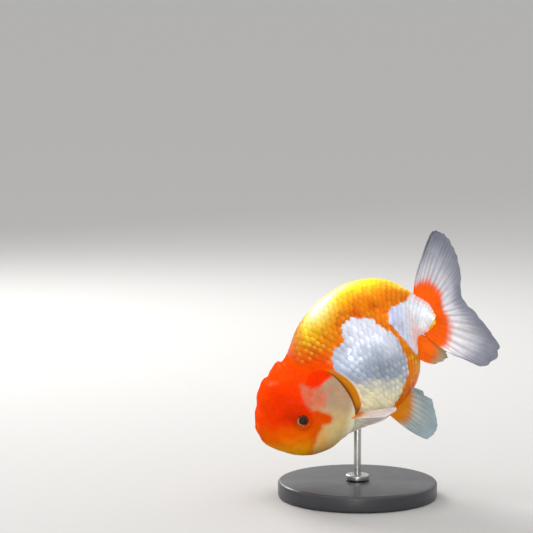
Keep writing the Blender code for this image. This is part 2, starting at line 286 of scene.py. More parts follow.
def plate(name: str, columns: int, rows: int) -> bpy.types.Mesh:
    """A closed square plate.

    Args:
        name: The mesh's name.
        columns: Its faces in X, where it runs from -1 to 1.
        rows: Its faces in Y, where it runs from -1 to 1.

    Returns:
        The mesh, with its lower face at height 0 and its upper one at 1.
    """
    bm = bmesh.new()
    bmesh.ops.create_grid(bm, x_segments=columns, y_segments=rows, size=1.0)
    copied = bmesh.ops.extrude_face_region(bm, geom=list(bm.faces), use_keep_orig=True)
    for item in copied["geom"]:
        if isinstance(item, bmesh.types.BMVert):
            item.co.z = 1.0
    bmesh.ops.recalc_face_normals(bm, faces=bm.faces)
    return meshed(bm, name)


def spun(bm: bmesh.types.BMesh, name: str, steps: int, gap: float) -> bpy.types.Mesh:
    """Spins an outline once round the vertical axis.

    Args:
        bm: A bmesh that holds only the outline.
        name: The new mesh's name.
        steps: How many faces go round.
        gap: Points closer than this, in metres, are joined.

    Returns:
        The mesh.
    """
    geom = [*bm.verts, *bm.edges]
    bmesh.ops.spin(bm, geom=geom, axis=(0, 0, 1), steps=steps, angle=math.tau, use_merge=True)
    bmesh.ops.remove_doubles(bm, verts=bm.verts, dist=gap)
    bmesh.ops.recalc_face_normals(bm, faces=bm.faces)
    return meshed(bm, name)


def face_outwards(mesh: bpy.types.Mesh) -> None:
    """Turns a closed mesh's faces outwards if they point inwards."""
    mesh.calc_loop_triangles()
    corners = np.empty(len(mesh.loop_triangles) * 3, np.int32)
    mesh.loop_triangles.foreach_get("vertices", corners)
    a, b, c = (coordinates(mesh)[corners.reshape(-1, 3)[:, at]] for at in range(3))
    if np.einsum("ij,ij->i", a, np.cross(b, c)).sum() < 0.0:
        mesh.flip_normals()


def store(mesh: bpy.types.Mesh, name: str, values: Array) -> None:
    """Keeps a value or a colour for each point of a mesh, for its material to read.

    Args:
        mesh: The mesh.
        name: The attribute's name.
        values: One number or one RGB row for each point.
    """
    if values.ndim == 1:
        layer = mesh.attributes.new(name, "FLOAT", "POINT")
        layer.data.foreach_set("value", values.astype(np.float32))
        return
    layer = mesh.attributes.new(name, "FLOAT_COLOR", "POINT")
    rows = np.concatenate([np.clip(values, 0.0, 1.0), np.ones((len(values), 1))], axis=1)
    layer.data.foreach_set("color", rows.astype(np.float32).ravel())


def unwrap(mesh: bpy.types.Mesh, name: str, places: Array) -> None:
    """Gives a mesh a UV map.

    Args:
        mesh: The mesh.
        name: The map's name.
        places: One place on the map for each point.
    """
    corners = np.empty(len(mesh.loops), np.int32)
    mesh.loops.foreach_get("vertex_index", corners)
    layer = mesh.uv_layers.new(name=name)
    layer.uv.foreach_set("vector", places[corners].astype(np.float32).ravel())


def finished(
    mesh: bpy.types.Mesh,
    name: str,
    material: bpy.types.Material,
    slot: str,
    *nodes: str,
    crease: float = 0.0,
) -> bpy.types.Object:
    """Puts a finished piece in the scene, in place of the plain solids that it stands for.

    Args:
        mesh: The piece's mesh, in place.
        name: Its name.
        material: Its material.
        slot: The material slot meant for its finish; not used.
        nodes: The solids that it replaces.
        crease: Edges that turn by more degrees than this stay sharp; 0 keeps none sharp.

    Returns:
        The piece.
    """
    mesh.shade_smooth()
    if crease:
        mesh.set_sharp_from_angle(angle=math.radians(crease))
    face_outwards(mesh)
    mesh.materials.append(material)
    piece = bpy.data.objects.new(name, mesh)
    bpy.context.scene.collection.objects.link(piece)
    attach(piece, "root")
    if nodes:
        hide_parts(*nodes)
    log.info("%s: %d faces", name, len(mesh.polygons))
    return piece


# -------------------- body and eyes


class Section(NamedTuple):
    """A cross-section of the body: its middle, its lean towards the snout, and its half-sizes."""

    name: str
    x: float
    z: float
    lean: float
    half_height: float
    half_width: float
    low: float
    square: float


class Lobe(NamedTuple):
    """A soft swelling, or with a negative height a hollow, at a place on the left side."""

    name: str
    x: float
    y: float
    z: float
    height: float
    spread: float


SECTIONS = (
    Section("mouth", -55.8, 38.6, 11.0, 0.0, 0.0, 0.0, 2.0),
    Section("muzzle", -55.3, 39.8, 11.5, 6.4, 8.8, 0.0, 2.1),
    Section("nostrils", -52.6, 43.4, 12.5, 13.6, 16.4, 0.0, 2.3),
    Section("forehead", -46.0, 46.4, 15.5, 21.0, 21.4, 0.02, 2.5),
    Section("eyes", -38.2, 48.2, 21.5, 25.6, 23.2, 0.04, 2.5),
    Section("crown", -30.2, 51.3, 30.0, 27.2, 23.8, 0.05, 2.4),
    Section("nape", -24.0, 55.3, 37.5, 26.4, 23.6, 0.05, 2.3),
    Section("shoulder", -14.8, 66.8, 34.5, 33.3, 24.6, 0.06, 2.2),
    Section("front belly", -4.2, 75.4, 30.5, 37.4, 26.6, 0.10, 2.1),
    Section("deep belly", 6.9, 84.5, 27.5, 36.7, 26.6, 0.14, 2.0),
    Section("rear belly", 17.4, 91.5, 26.0, 32.8, 23.4, 0.14, 2.0),
    Section("vent", 24.5, 96.8, 22.5, 25.9, 17.4, 0.10, 2.0),
    Section("peduncle", 28.6, 100.0, 14.0, 17.0, 11.4, 0.0, 2.0),
    Section("tail wrist", 32.8, 100.2, 4.0, 11.6, 8.8, 0.0, 2.0),
    Section("scale edge", 39.4, 99.4, 0.0, 8.8, 7.0, 0.0, 2.0),
    Section("tail stump", 42.6, 99.2, 0.0, 5.8, 5.4, 0.0, 2.0),
    Section("tail root", 43.6, 99.2, 0.0, 0.0, 0.0, 0.0, 2.0),
)
LAST = len(SECTIONS) - 1
NAPE = 6.0

LOBES = (
    Lobe("crown pad", -45.0, 0.0, 72.0, 0.9, 5.0),
    Lobe("crease before the crown", -50.5, 0.0, 66.0, -0.9, 1.8),
    Lobe("brow crease", -53.4, 0.0, 61.8, -0.5, 1.6),
    Lobe("temple pad", -31.0, -20.0, 65.0, 1.1, 5.0),
    Lobe("brow pad", -43.0, -18.0, 58.0, 0.9, 4.5),
    Lobe("side of the crown", -38.0, -12.0, 74.0, 0.4, 4.5),
    Lobe("snout pad", -54.0, -9.0, 50.0, 0.2, 4.0),
    Lobe("nostril flap", -54.6, -5.6, 47.2, 0.7, 1.5),
    Lobe("muzzle pad", -54.0, -10.0, 38.0, 1.0, 3.6),
    Lobe("mouth hollow", -56.0, 0.0, 38.6, -1.8, 4.4),
    Lobe("chin pad", -50.0, -5.0, 31.0, 0.6, 4.0),
    Lobe("cheek pad", -42.0, -19.0, 35.0, 1.2, 5.0),
    Lobe("hollow round the eye", -33.4, -23.0, 46.0, -1.1, 4.2),
    Lobe("hollow behind the eye", -24.0, -24.0, 58.0, -0.7, 3.6),
    Lobe("gill cover pad", -17.0, -23.0, 50.0, 1.1, 7.0),
    Lobe("jowl", -24.0, -17.0, 35.0, 0.9, 5.5),
    Lobe("nape", -41.3, 0.0, 76.9, 0.7, 3.2),
    Lobe("beside the nape", -40.7, -6.0, 75.9, 0.4, 3.4),
)


@dataclass(frozen=True)
class BodyForm:
    """The smooth outer shape of the body from the mouth to the tail root.

    A point is named by its place, the fractional index of its section, and its angle from the back
    (0) over the left flank to the belly (pi).
    """

    muzzle_end: float = 4.0
    gill_lift: float = 1.1
    gill_reach: tuple[float, ...] = (0.0, 0.02, 0.22, 0.8, 1.12, 1.02, 0.58, 0.08, 0.0)
    brink_top: Ramp = (0.95, 1.75)
    brink_foot: Ramp = (2.5, 3.0)
    crescent_top: Ramp = (64.0, 98.0)
    crescent_foot: Ramp = (114.0, 132.0)
    crescent_width: float = 0.35
    scale_gap: float = 0.1
    fold_depth: float = 2.2
    fold_width: float = 19.0
    fold_front: Ramp = (8.8, 10.4)
    fold_rear: Ramp = (11.0, 12.6)
    fold_first: float = 9.0
    fold_angle: float = 48.0
    fold_slope: float = 26.0
    lip_height: float = 1.5
    lip_width: float = 3.8
    lip_rise: float = 2.3
    lip_softness: float = 0.42
    lip_end: float = 6.0
    mouth_depth: float = 1.6
    mouth_size: float = 0.55
    wrist: Ramp = (14.5, 15.4)
    pinch: float = 0.62

    def column(self, field: str, place: Array) -> Array:
        """One of the sections' values, read smoothly at each place."""
        return spline([getattr(section, field) for section in SECTIONS], place)

    def gill_line(self, angle: Array) -> Array:
        """The place where the head ends, at each angle."""
        return NAPE + spline(self.gill_reach, np.abs(angle) / math.pi * (len(self.gill_reach) - 1))

    def brink(self, angle: Array) -> Array:
        """How free the gill covers' edge is at each angle: 1 on the flank, little on back and breast."""
        aside = np.abs(angle)
        return smoothstep(*self.brink_top, aside) * (1.0 - 0.5 * smoothstep(*self.brink_foot, aside))

    def crescent(self, angle: Array) -> Array:
        """How much of the bare crescent behind the gill covers there is at each angle."""
        degrees = np.degrees(np.abs(angle))
        return smoothstep(*self.crescent_top, degrees) * fade(*self.crescent_foot, degrees)

    def bare_width(self, angle: Array) -> Array:
        """How far behind the gill covers' edge the scales begin, in sections."""
        return self.scale_gap + self.crescent_width * self.crescent(angle)

    def fold_share(self, place: Array) -> Array:
        """How deep the belly's fold is at each place along the body, from 0 to 1."""
        return smoothstep(*self.fold_front, place) * fade(*self.fold_rear, place)

    def belly_fold(self, place: Array, angle: Array) -> Array:
        """The valley that parts the round belly from the peduncle on the flank."""
        off = np.degrees(np.abs(angle)) - self.fold_angle - self.fold_slope * (place - self.fold_first)
        return -self.fold_depth * bell(off, self.fold_width) * self.fold_share(place)

    def lobes_at(self, points: Array) -> Array:
        """The sum of the swellings and hollows at each point, both sides alike."""
        total = np.zeros(points.shape[:-1])
        for lobe in LOBES:
            away = np.stack(
                [points[..., 0] - lobe.x, np.abs(points[..., 1]) + lobe.y, points[..., 2] - lobe.z]
            )
            total += lobe.height * np.exp(-(away**2).sum(axis=0) / (2.0 * lobe.spread**2))
        return total

    def lips_at(self, points: Array) -> Array:
        """The ring of the lips round the small closed mouth, which lies a little deeper."""
        mouth = SECTIONS[0]
        out = np.hypot(points[..., 1] / self.lip_width, (points[..., 2] - mouth.z) / self.lip_rise)
        ring = self.lip_height * bell(out - 1.0, self.lip_softness)
        relief = ring - self.mouth_depth * bell(out, self.mouth_size)
        return np.where(points[..., 0] > mouth.x + self.lip_end, 0.0, relief)

    def point(self, place: Array, angle: Array, lift: float | Array = 0.0) -> Array:
        """Points of the surface.

        Args:
            place: Fractional section indices.
            angle: Angles from the back over the left flank.
            lift: How far to move each point out of its section, in millimetres.

        Returns:
            One row for each point, in millimetres.
        """
        place, angle = np.broadcast_arrays(np.asarray(place, float), np.asarray(angle, float))
        lean = np.radians(self.column("lean", place))
        height = self.column("half_height", place)
        width = self.column("half_width", place) * (1.0 - self.pinch * smoothstep(*self.wrist, place))
        low, power = self.column("low", place), 2.0 / self.column("square", place)
        nothing = np.zeros_like(place)
        up = np.stack([-np.sin(lean), nothing, np.cos(lean)], axis=-1)
        rise, aside = powered(np.cos(angle), power), powered(np.sin(angle), power)
        reach = height * np.where(rise > 0.0, 1.0 + low, 1.0 - low)
        out = up * (reach * rise)[..., None]
        out[..., 1] = -width * aside
        middle = np.stack([self.column("x", place), nothing, self.column("z", place)], axis=-1)
        middle = middle - up * (low * height)[..., None]
        length = np.linalg.norm(out, axis=-1, keepdims=True)
        turn = smoothstep(0.0, self.muzzle_end, place)[..., None] * math.pi / 2
        ahead = np.stack([-up[..., 2], nothing, up[..., 0]], axis=-1)
        way = out / np.maximum(length, 1e-6) * np.sin(turn) + ahead * np.cos(turn)
        way /= np.linalg.norm(way, axis=-1, keepdims=True)
        points = middle + out
        relief = self.belly_fold(place, angle) + self.lobes_at(points) + self.lips_at(points) + lift
        return points + way * relief[..., None]

    def slopes(self, place: Array, angle: Array) -> tuple[Array, Array, Array]:
        """How the surface runs.

        Args:
            place: Fractional section indices.
            angle: Angles from the back over the left flank.

        Returns:
            The change of the point for one section, for one radian, and the unit normal outwards.
        """
        step = 0.01
        low, high = np.maximum(place - step, 0.0), np.minimum(place + step, LAST)
        along = (self.point(high, angle) - self.point(low, angle)) / (high - low)[..., None]
        around = (self.point(place, angle + step) - self.point(place, angle - step)) / (2 * step)
        normal = np.cross(around, along)
        length = np.maximum(np.linalg.norm(normal, axis=-1, keepdims=True), 1e-9)
        return along, around, normal / length


BODY = BodyForm()


@dataclass(frozen=True)
class Eye:
    """The eye's place and size; the right eye mirrors the left."""

    x: float = -33.2
    y: float = -20.6
    z: float = 46.9
    radius: float = 4.3
    oval: float = 0.92
    opening: float = 3.15
    axis: Place = (-0.05, -1.0, 0.06)
    lens_rise: float = 0.28
    lens_size: float = 0.42
    groove_depth: float = 0.12
    groove: float = 0.66
    groove_width: float = 0.1
    glow_way: Place = (-0.9375, 0.0, -0.825)
    meridians: int = 64
    parallels: int = 48

    def centre(self, side: Side) -> Array:
        """The eyeball's middle on one side."""
        return np.array([self.x, -self.y * side.value, self.z])

    def outward(self, side: Side) -> Array:
        """The unit vector that the eye looks along."""
        way = np.array([self.axis[0], -self.axis[1] * side.value, self.axis[2]])
        return way / np.linalg.norm(way)

    def build(self, side: Side, material: bpy.types.Material) -> bpy.types.Object:
        """Makes one eyeball with a slightly bulging lens.

        Args:
            side: Which eye.
            material: The eye's finish.

        Returns:
            The piece.
        """
        name = f"eyeball_{side.word}"
        bm = bmesh.new()
        bmesh.ops.create_uvsphere(bm, u_segments=self.meridians, v_segments=self.parallels, radius=1.0)
        mesh = meshed(bm, name)
        ball = coordinates(mesh)
        behind = np.where(ball[:, 2] > 0.0, 1.0, 3.0)
        out = np.hypot(ball[:, 0], ball[:, 1]) * behind
        lens = self.lens_rise * bell(out, self.lens_size)
        lens -= self.groove_depth * bell(out - self.groove, self.groove_width)
        turn = np.array(Vector(self.outward(side)).to_track_quat("Z", "Y").to_matrix())
        turned = (ball * (self.radius + lens[:, None])) @ turn.T
        turned[:, 2] *= self.oval
        place_points(mesh, turned + self.centre(side))
        store(mesh, "Out", np.clip(out, 0.0, 1.0))
        store(mesh, "Glow", smoothstep(-0.1, 0.6, turned @ np.array(self.glow_way) / self.radius))
        return finished(mesh, name, material, "eye", f"eye_{side.word}")


EYE = Eye()
NOSTRIL = (-54.4, 6.0, 49.2)
NOSTRIL_SIZE = 0.9


def nostrils(points: Array) -> Array:
    """How near each point is to the middle of a nostril: 1 there, and 0 well away from it."""
    x, y, z = points[:, 0] - NOSTRIL[0], np.abs(points[:, 1]) - NOSTRIL[1], points[:, 2] - NOSTRIL[2]
    return bell(np.sqrt(x**2 + y**2 + z**2), NOSTRIL_SIZE)


# -------------------- markings


@dataclass(frozen=True)
class Patch:
    """A patch of colour as seen from the side, the same on both flanks: its outline in X and Z."""

    name: str
    outline: tuple[Spot, ...]
    border: float = 0.6

    def covers(self, x: Array, z: Array) -> Array:
        """How far the patch covers each point.

        Args:
            x: Places along the fish, in millimetres.
            z: Heights, in millimetres.

        Returns:
            0 outside, 1 inside, with a soft step as wide as the border.
        """
        near = np.full(x.shape, np.inf)
        inside = np.zeros(x.shape, bool)
        for (x0, z0), (x1, z1) in zip(self.outline, self.outline[1:] + self.outline[:1]):
            near = np.minimum(near, off_stretch(x, z, (x0, z0), (x1, z1))[1])
            if z0 != z1:
                inside ^= ((z0 > z) != (z1 > z)) & (x < x0 + (x1 - x0) * (z - z0) / (z1 - z0))
        return smoothstep(-self.border / 2.0, self.border / 2.0, np.where(inside, near, -near))


PEARL = Patch(
    "flank",
    (
        (-11.6, 99.8), (-8.0, 102.0), (-2.9, 101.6), (1.8, 102.0), (6.3, 98.2), (11.9, 94.4),
        (18.2, 90.2), (20.6, 83.0), (22.5, 74.9), (23.6, 68.0), (21.0, 61.0), (18.0, 53.0),
        (15.0, 46.0), (14.0, 25.0), (-30.0, 20.0), (-22.0, 60.0), (-16.0, 73.5), (-18.4, 79.5),
        (-16.6, 86.0), (-11.4, 89.4), (-13.2, 94.0),
    ),
)
PEDUNCLE = Patch(
    "peduncle",
    (
        (13.4, 106.0), (17.4, 108.6), (23.6, 109.6), (28.4, 114.5), (36.0, 115.0), (45.0, 109.0),
        (45.0, 91.0), (36.0, 87.5), (33.0, 85.5), (30.5, 82.5), (28.1, 82.0), (25.0, 85.6),
        (22.4, 89.2), (17.8, 93.4), (13.8, 99.0), (12.4, 102.6),
    ),
)
GILL_COVER = Patch(
    "gill cover",
    (
        (-21.0, 69.4), (-16.3, 71.9), (-8.0, 76.0), (4.0, 60.0), (4.0, 18.0), (-28.0, 18.0),
        (-26.8, 30.7), (-25.4, 38.1), (-22.6, 44.2), (-17.8, 46.2), (-17.0, 48.6), (-19.1, 51.4),
        (-27.4, 52.8), (-29.0, 57.0), (-27.6, 62.0), (-24.7, 65.2),
    ),
    3.0,
)
BLUSH = Patch(
    "blush before the gill cover",
    (
        (-34.8, 66.0), (-31.9, 67.0), (-27.5, 65.3), (-23.5, 65.8), (-20.0, 60.5), (-21.5, 54.0),
        (-27.0, 52.4), (-30.6, 54.0), (-33.8, 60.0),
    ),
    3.4,
)
PAD = Patch(
    "bright pad",
    (
        (-32.4, 66.4), (-30.0, 71.6), (-24.0, 73.8), (-18.3, 73.6), (-17.6, 71.4), (-21.0, 69.4),
        (-24.7, 65.2), (-28.4, 64.6),
    ),
    2.4,
)


# Painted highlights on the upper back: the glare, its yellow fringe and the yellow sheen on the shoulder.
GLARE_HALO = Oval(7.8, 18.0, 0.7, 18.0)
GLARE = Oval(7.88, 14.0, 0.46, 14.0)
SHOULDER = Oval(7.3, 27.0, 0.6, 19.0)
SLATE = Oval(8.0, 75.0, 15.75, 10.5)
REAR_PEARL = Oval(13.0, 86.0, 6.0, 6.0)
FIN_PIT = Oval(-4.4, 51.4, 2.6, 2.6)
# Painted shade in the hollow before the eye.
TEMPLE_SHADE = Oval(-39.5, 48.5, 7.0, 7.0)


@dataclass(frozen=True)
class Markings:
    """The fish's colours, which skin and scales share, some of them painted highlight and painted shade.

    The swirls are the sizes of the slow and the fine noise that move the borders. The ramps say where
    a colour begins and where it is whole: in sections when they end in _place, in degrees from the
    back in _degrees, and otherwise in millimetres along X or up Z.
    """

    scarlet: str = "EE3402"
    deep_scarlet: str = "C42801"
    hood_orange: str = "F24604"
    tongue: str = "CA4A02"
    cheek: str = "E25A02"
    amber: str = "E09812"
    pad: str = "EE3001"
    orange: str = "E47402"
    deep_orange: str = "D45A00"
    gold: str = "F29202"
    yellow: str = "FFE010"
    glare: str = "FFFAD8"
    ember: str = "F04A02"
    band: str = "DE8C0E"
    pearl: str = "E0E2EE"
    lavender: str = "B0B8C9"
    slate: str = "8793A2"
    cream: str = "EFE6BC"
    blush: str = "F2E2DA"
    breast: str = "F8F8DC"
    gill: str = "AC9276"
    gill_low: str = "CCB47C"
    gill_pink: str = "D8664A"
    throat: str = "D4A05C"
    crescent: str = "C47812"
    crescent_shade: str = "6E3A06"
    rim: str = "F2CBA0"
    brown: str = "84502C"
    gilt: str = "FFD02C"
    silver: str = "ECF6FC"
    frost: str = "CDD0EA"
    fin_root: str = "F85C02"

    trunk_swirls: Ramp = (4.5, 1.9)
    head_swirls: Ramp = (3.2, 1.3)
    gold_degrees: Ramp = (26.0, 50.0)
    crest_degrees: Ramp = (8.0, 38.0)
    crest_place: Ramp = (7.0, 7.9)
    ember_place: Ramp = (0.1, 1.0)
    band_place: Ramp = (9.8, 10.8)
    band_degrees: Ramp = (64.0, 88.0)
    pit_degrees: Ramp = (54.0, 70.0)
    pearl_z: Ramp = (86.0, 97.0)
    cream_z: Ramp = (60.0, 71.0)
    blush_z: Ramp = (46.0, 53.0)
    breast_x: Ramp = (-4.0, 4.0)
    breast_z: Ramp = (46.0, 50.0)
    silver_x: Ramp = (18.0, 28.0)
    gilt_x: Ramp = (39.3, 40.3)
    crown_z: Ramp = (60.0, 72.0)
    snout_x: Ramp = (-54.0, -46.0)
    cheek_z: Ramp = (37.0, 48.0)
    amber_z: Ramp = (26.0, 38.0)
    tongue_x: Ramp = (-33.0, -25.0)
    tongue_z: Ramp = (51.0, 56.0)
    gill_z: Ramp = (44.0, 58.0)
    gill_pink_z: Ramp = (44.0, 60.0)
    throat_x: Ramp = (-25.0, -16.0)
    gill_foot_x: Ramp = (-12.0, -4.0)
    eye_shade_radius: float = 4.4
    mouth_slit: Ramp = (2.6, 0.6)

    def pearls(self, x: Array, z: Array, wander: Array) -> Array:
        """Colours of the pale patch, from its bright top down to the belly.

        Args:
            x: Places along the fish.
            z: Heights.
            wander: Two rows of noise.

        Returns:
            Linear colours, one row for each point.
        """
        bright = smoothstep(*self.pearl_z, z + 3.0 * wander[0])
        shade = over(colour(self.lavender), self.pearl, bright)
        shade = over(shade, self.slate, 0.95 * SLATE.at(x, z))
        shade = over(shade, self.pearl, 0.55 * REAR_PEARL.at(x, z))
        shade = over(shade, self.cream, fade(*self.cream_z, z + 3.0 * wander[1]))
        shade = over(shade, self.blush, fade(*self.blush_z, z))
        return over(shade, self.breast, fade(*self.breast_x, x) * fade(*self.breast_z, z))

    def wrist(self, x: Array, z: Array, fine: Array) -> Array:
        """Colours of the patch on the tail's wrist, from frost through silver to a gilt brink.

        Args:
            x: Places along the fish.
            z: Heights.
            fine: Two rows of fine noise.

        Returns:
            Linear colours, one row for each point.
        """
        shade = over(colour(self.frost), self.lavender, 0.7 * smoothstep(-0.2, 0.6, fine[0]))
        silver = smoothstep(*self.silver_x, x + 0.25 * (z - 100.0) + 2.0 * fine[1])
        gilt = smoothstep(*self.gilt_x, x + 1.3 * fine[0] - 0.3 * (z - 98.5))
        return over(over(shade, self.silver, silver), self.gilt, gilt)

    def bare_crescent(self, shade: Array, beyond: Array, angle: Array) -> Array:
        """Lays the bare crescent, painted shade at its gill edge and its pale rim over the trunk's colours.

        Args:
            shade: The colours so far.
            beyond: How far behind the gill covers' edge each point is, in sections.
            angle: Their angles from the back.

        Returns:
            Linear colours, one row for each point.
        """
        share = BODY.crescent(angle)
        across = beyond / BODY.bare_width(angle)
        rim = 0.7 * smoothstep(0.2, 0.6, share) * bell(across - 0.96, 0.08)
        # The brown crescent is the fish's own; its darker side along the gill covers' edge is painted shade.
        brown = over(colour(self.crescent_shade), self.crescent, smoothstep(0.04, 0.42, across))
        shown = smoothstep(0.08, 0.3, share) * fade(0.8, 0.94, across)
        return blend(over(shade, self.rim, rim), brown, shown)

    def trunk(self, points: Array, place: Array, angle: Array, seed: int) -> Array:
        """Colours behind the gill covers.

        Args:
            points: Places in millimetres.
            place: Their fractional section indices.
            angle: Their angles from the back.
            seed: Which wander the borders take.

        Returns:
            Linear colours, one row for each point.
        """
        wander, fine = (swirl(points, size, seed + at) for at, size in zip((0, 2), self.trunk_swirls))
        x, z = points[:, 0], points[:, 2]
        there_x, there_z = x + 0.9 * wander[0] + 0.6 * fine[0], z + 0.9 * wander[1] + 0.6 * fine[1]
        degrees = np.degrees(np.abs(angle))
        beyond = place - BODY.gill_line(angle)
        clouds = smoothstep(-0.1, 0.7, wander[1] + 0.4 * fine[0])
        shade = over(colour(self.orange), self.deep_orange, clouds)
        # Gold and yellow towards the back: partly the fish's own tone, partly painted highlight from above.
        shade = over(shade, self.gold, fade(*self.gold_degrees, degrees + 7.0 * wander[0]))
        crest = fade(*self.crest_degrees, degrees + 6.0 * fine[1]) * smoothstep(*self.crest_place, place)
        shade = over(shade, self.yellow, crest)
        # Painted highlight: yellow flecks of sheen on the shoulder.
        flecks = smoothstep(-0.3, 0.5, fine[0])
        shade = over(shade, self.yellow, 0.85 * SHOULDER.at(place, degrees) * flecks)
        # Painted highlight: a white glare on the upper back, fading out through a yellow fringe.
        glare_halo = GLARE_HALO.at(place, degrees + 5.0 * fine[0])
        shade = over(shade, self.yellow, np.clip(1.2 * glare_halo, 0.0, 0.9))
        shade = over(shade, self.glare, 0.85 * GLARE.at(place, degrees))
        shade = over(shade, self.ember, fade(*self.ember_place, beyond))
        rear = smoothstep(*self.band_place, place) * smoothstep(*self.band_degrees, degrees)
        shade = over(shade, self.band, rear)
        shade = blend(shade, self.pearls(x, z, wander), PEARL.covers(there_x, there_z))
        shade = blend(shade, self.wrist(x, z, fine), PEDUNCLE.covers(there_x, there_z))
        shade = self.bare_crescent(shade, beyond, angle)
        pit = FIN_PIT.at(x, z) * smoothstep(*self.pit_degrees, degrees)
        return over(shade, self.brown, np.clip(1.5 * pit, 0.0, 0.9))

    def gill_cover(self, x: Array, z: Array, wander: Array) -> Array:
        """Colours of the pale gill covers and the throat.

        Args:
            x: Places along the fish.
            z: Heights.
            wander: Two rows of noise.

        Returns:
            Linear colours, one row for each point.
        """
        shade = over(colour(self.gill_low), self.gill, smoothstep(*self.gill_z, z))
        shade = blend(colour(self.throat), shade, smoothstep(*self.throat_x, x + 0.3 * (z - 40.0)))
        foot = smoothstep(*self.gill_foot_x, x + 0.2 * (45.0 - z))
        warm = smoothstep(-0.2, 0.9, wander[0]) * smoothstep(*self.gill_pink_z, z)
        return over(over(shade, self.breast, 0.8 * foot), self.gill_pink, 0.3 * warm)

    def head(self, points: Array, seed: int) -> Array:
        """Colours of the hood, cheeks and gill covers.

        Args:
            points: Places in millimetres.
            seed: Which wander the borders take.

        Returns:
            Linear colours, one row for each point.
        """
        wander, fine = (swirl(points, size, seed + at) for at, size in zip((0, 2), self.head_swirls))
        x, z = points[:, 0], points[:, 2]
        there_x, there_z = x + 0.7 * wander[0] + 0.3 * fine[0], z + 0.7 * wander[1] + 0.3 * fine[1]
        aside = np.abs(points[:, 1])
        crown = smoothstep(*self.crown_z, z + 2.0 * wander[0])
        shade = over(colour(self.scarlet), self.hood_orange, crown)
        shade = over(shade, self.hood_orange, 0.5 * fade(*self.snout_x, x))
        # Painted shade: darker red in the hollow before the eye.
        shade = over(shade, self.deep_scarlet, 0.75 * TEMPLE_SHADE.at(x, z) * (aside > 12.0))
        low = z - 0.2 * (x + 45.0) + 1.5 * wander[1]
        shade = over(shade, self.cheek, fade(*self.cheek_z, low))
        shade = over(shade, self.amber, fade(*self.amber_z, low))
        shade = over(shade, self.tongue, 0.7 * smoothstep(*self.tongue_x, x) * fade(*self.tongue_z, z))
        shade = blend(shade, self.gill_cover(x, z, wander), GILL_COVER.covers(there_x, there_z))
        veins = fade(0.0, 0.34, np.abs(wander[1] + 0.5 * fine[1]))
        flush = over(colour(self.gill_pink), self.gill, 0.05 + 0.4 * veins)
        shade = blend(shade, flush, 0.8 * BLUSH.covers(there_x, there_z))
        shade = over(shade, self.pad, PAD.covers(there_x, there_z))
        # Painted shade: a darker ring round the eye, where the skin folds into its socket.
        ring = bell(np.hypot(x - EYE.x, z - EYE.z) - self.eye_shade_radius, 1.5) * (aside > 15.0)
        shade = shade * (1.0 - 0.2 * ring)[:, None]
        # Painted shade: dark in the nostrils' pits.
        shade = blend(shade, colour(self.deep_scarlet) * 0.35, 0.75 * nostrils(points))
        # Painted shade: a dark line along the closed mouth's slit.
        wide, tall = self.mouth_slit
        slit = np.hypot(points[:, 1] / wide, (z - SECTIONS[0].z) / tall) + 0.6 * np.maximum(x + 52.0, 0.0)
        return blend(shade, colour(self.brown) * 0.4, 0.8 * bell(slit, 0.9))


MARKINGS = Markings()
TRUNK_SEED = {Side.LEFT: 11, Side.RIGHT: 47}
HEAD_SEED = {Side.LEFT: 21, Side.RIGHT: 61}


# -------------------- material nodes


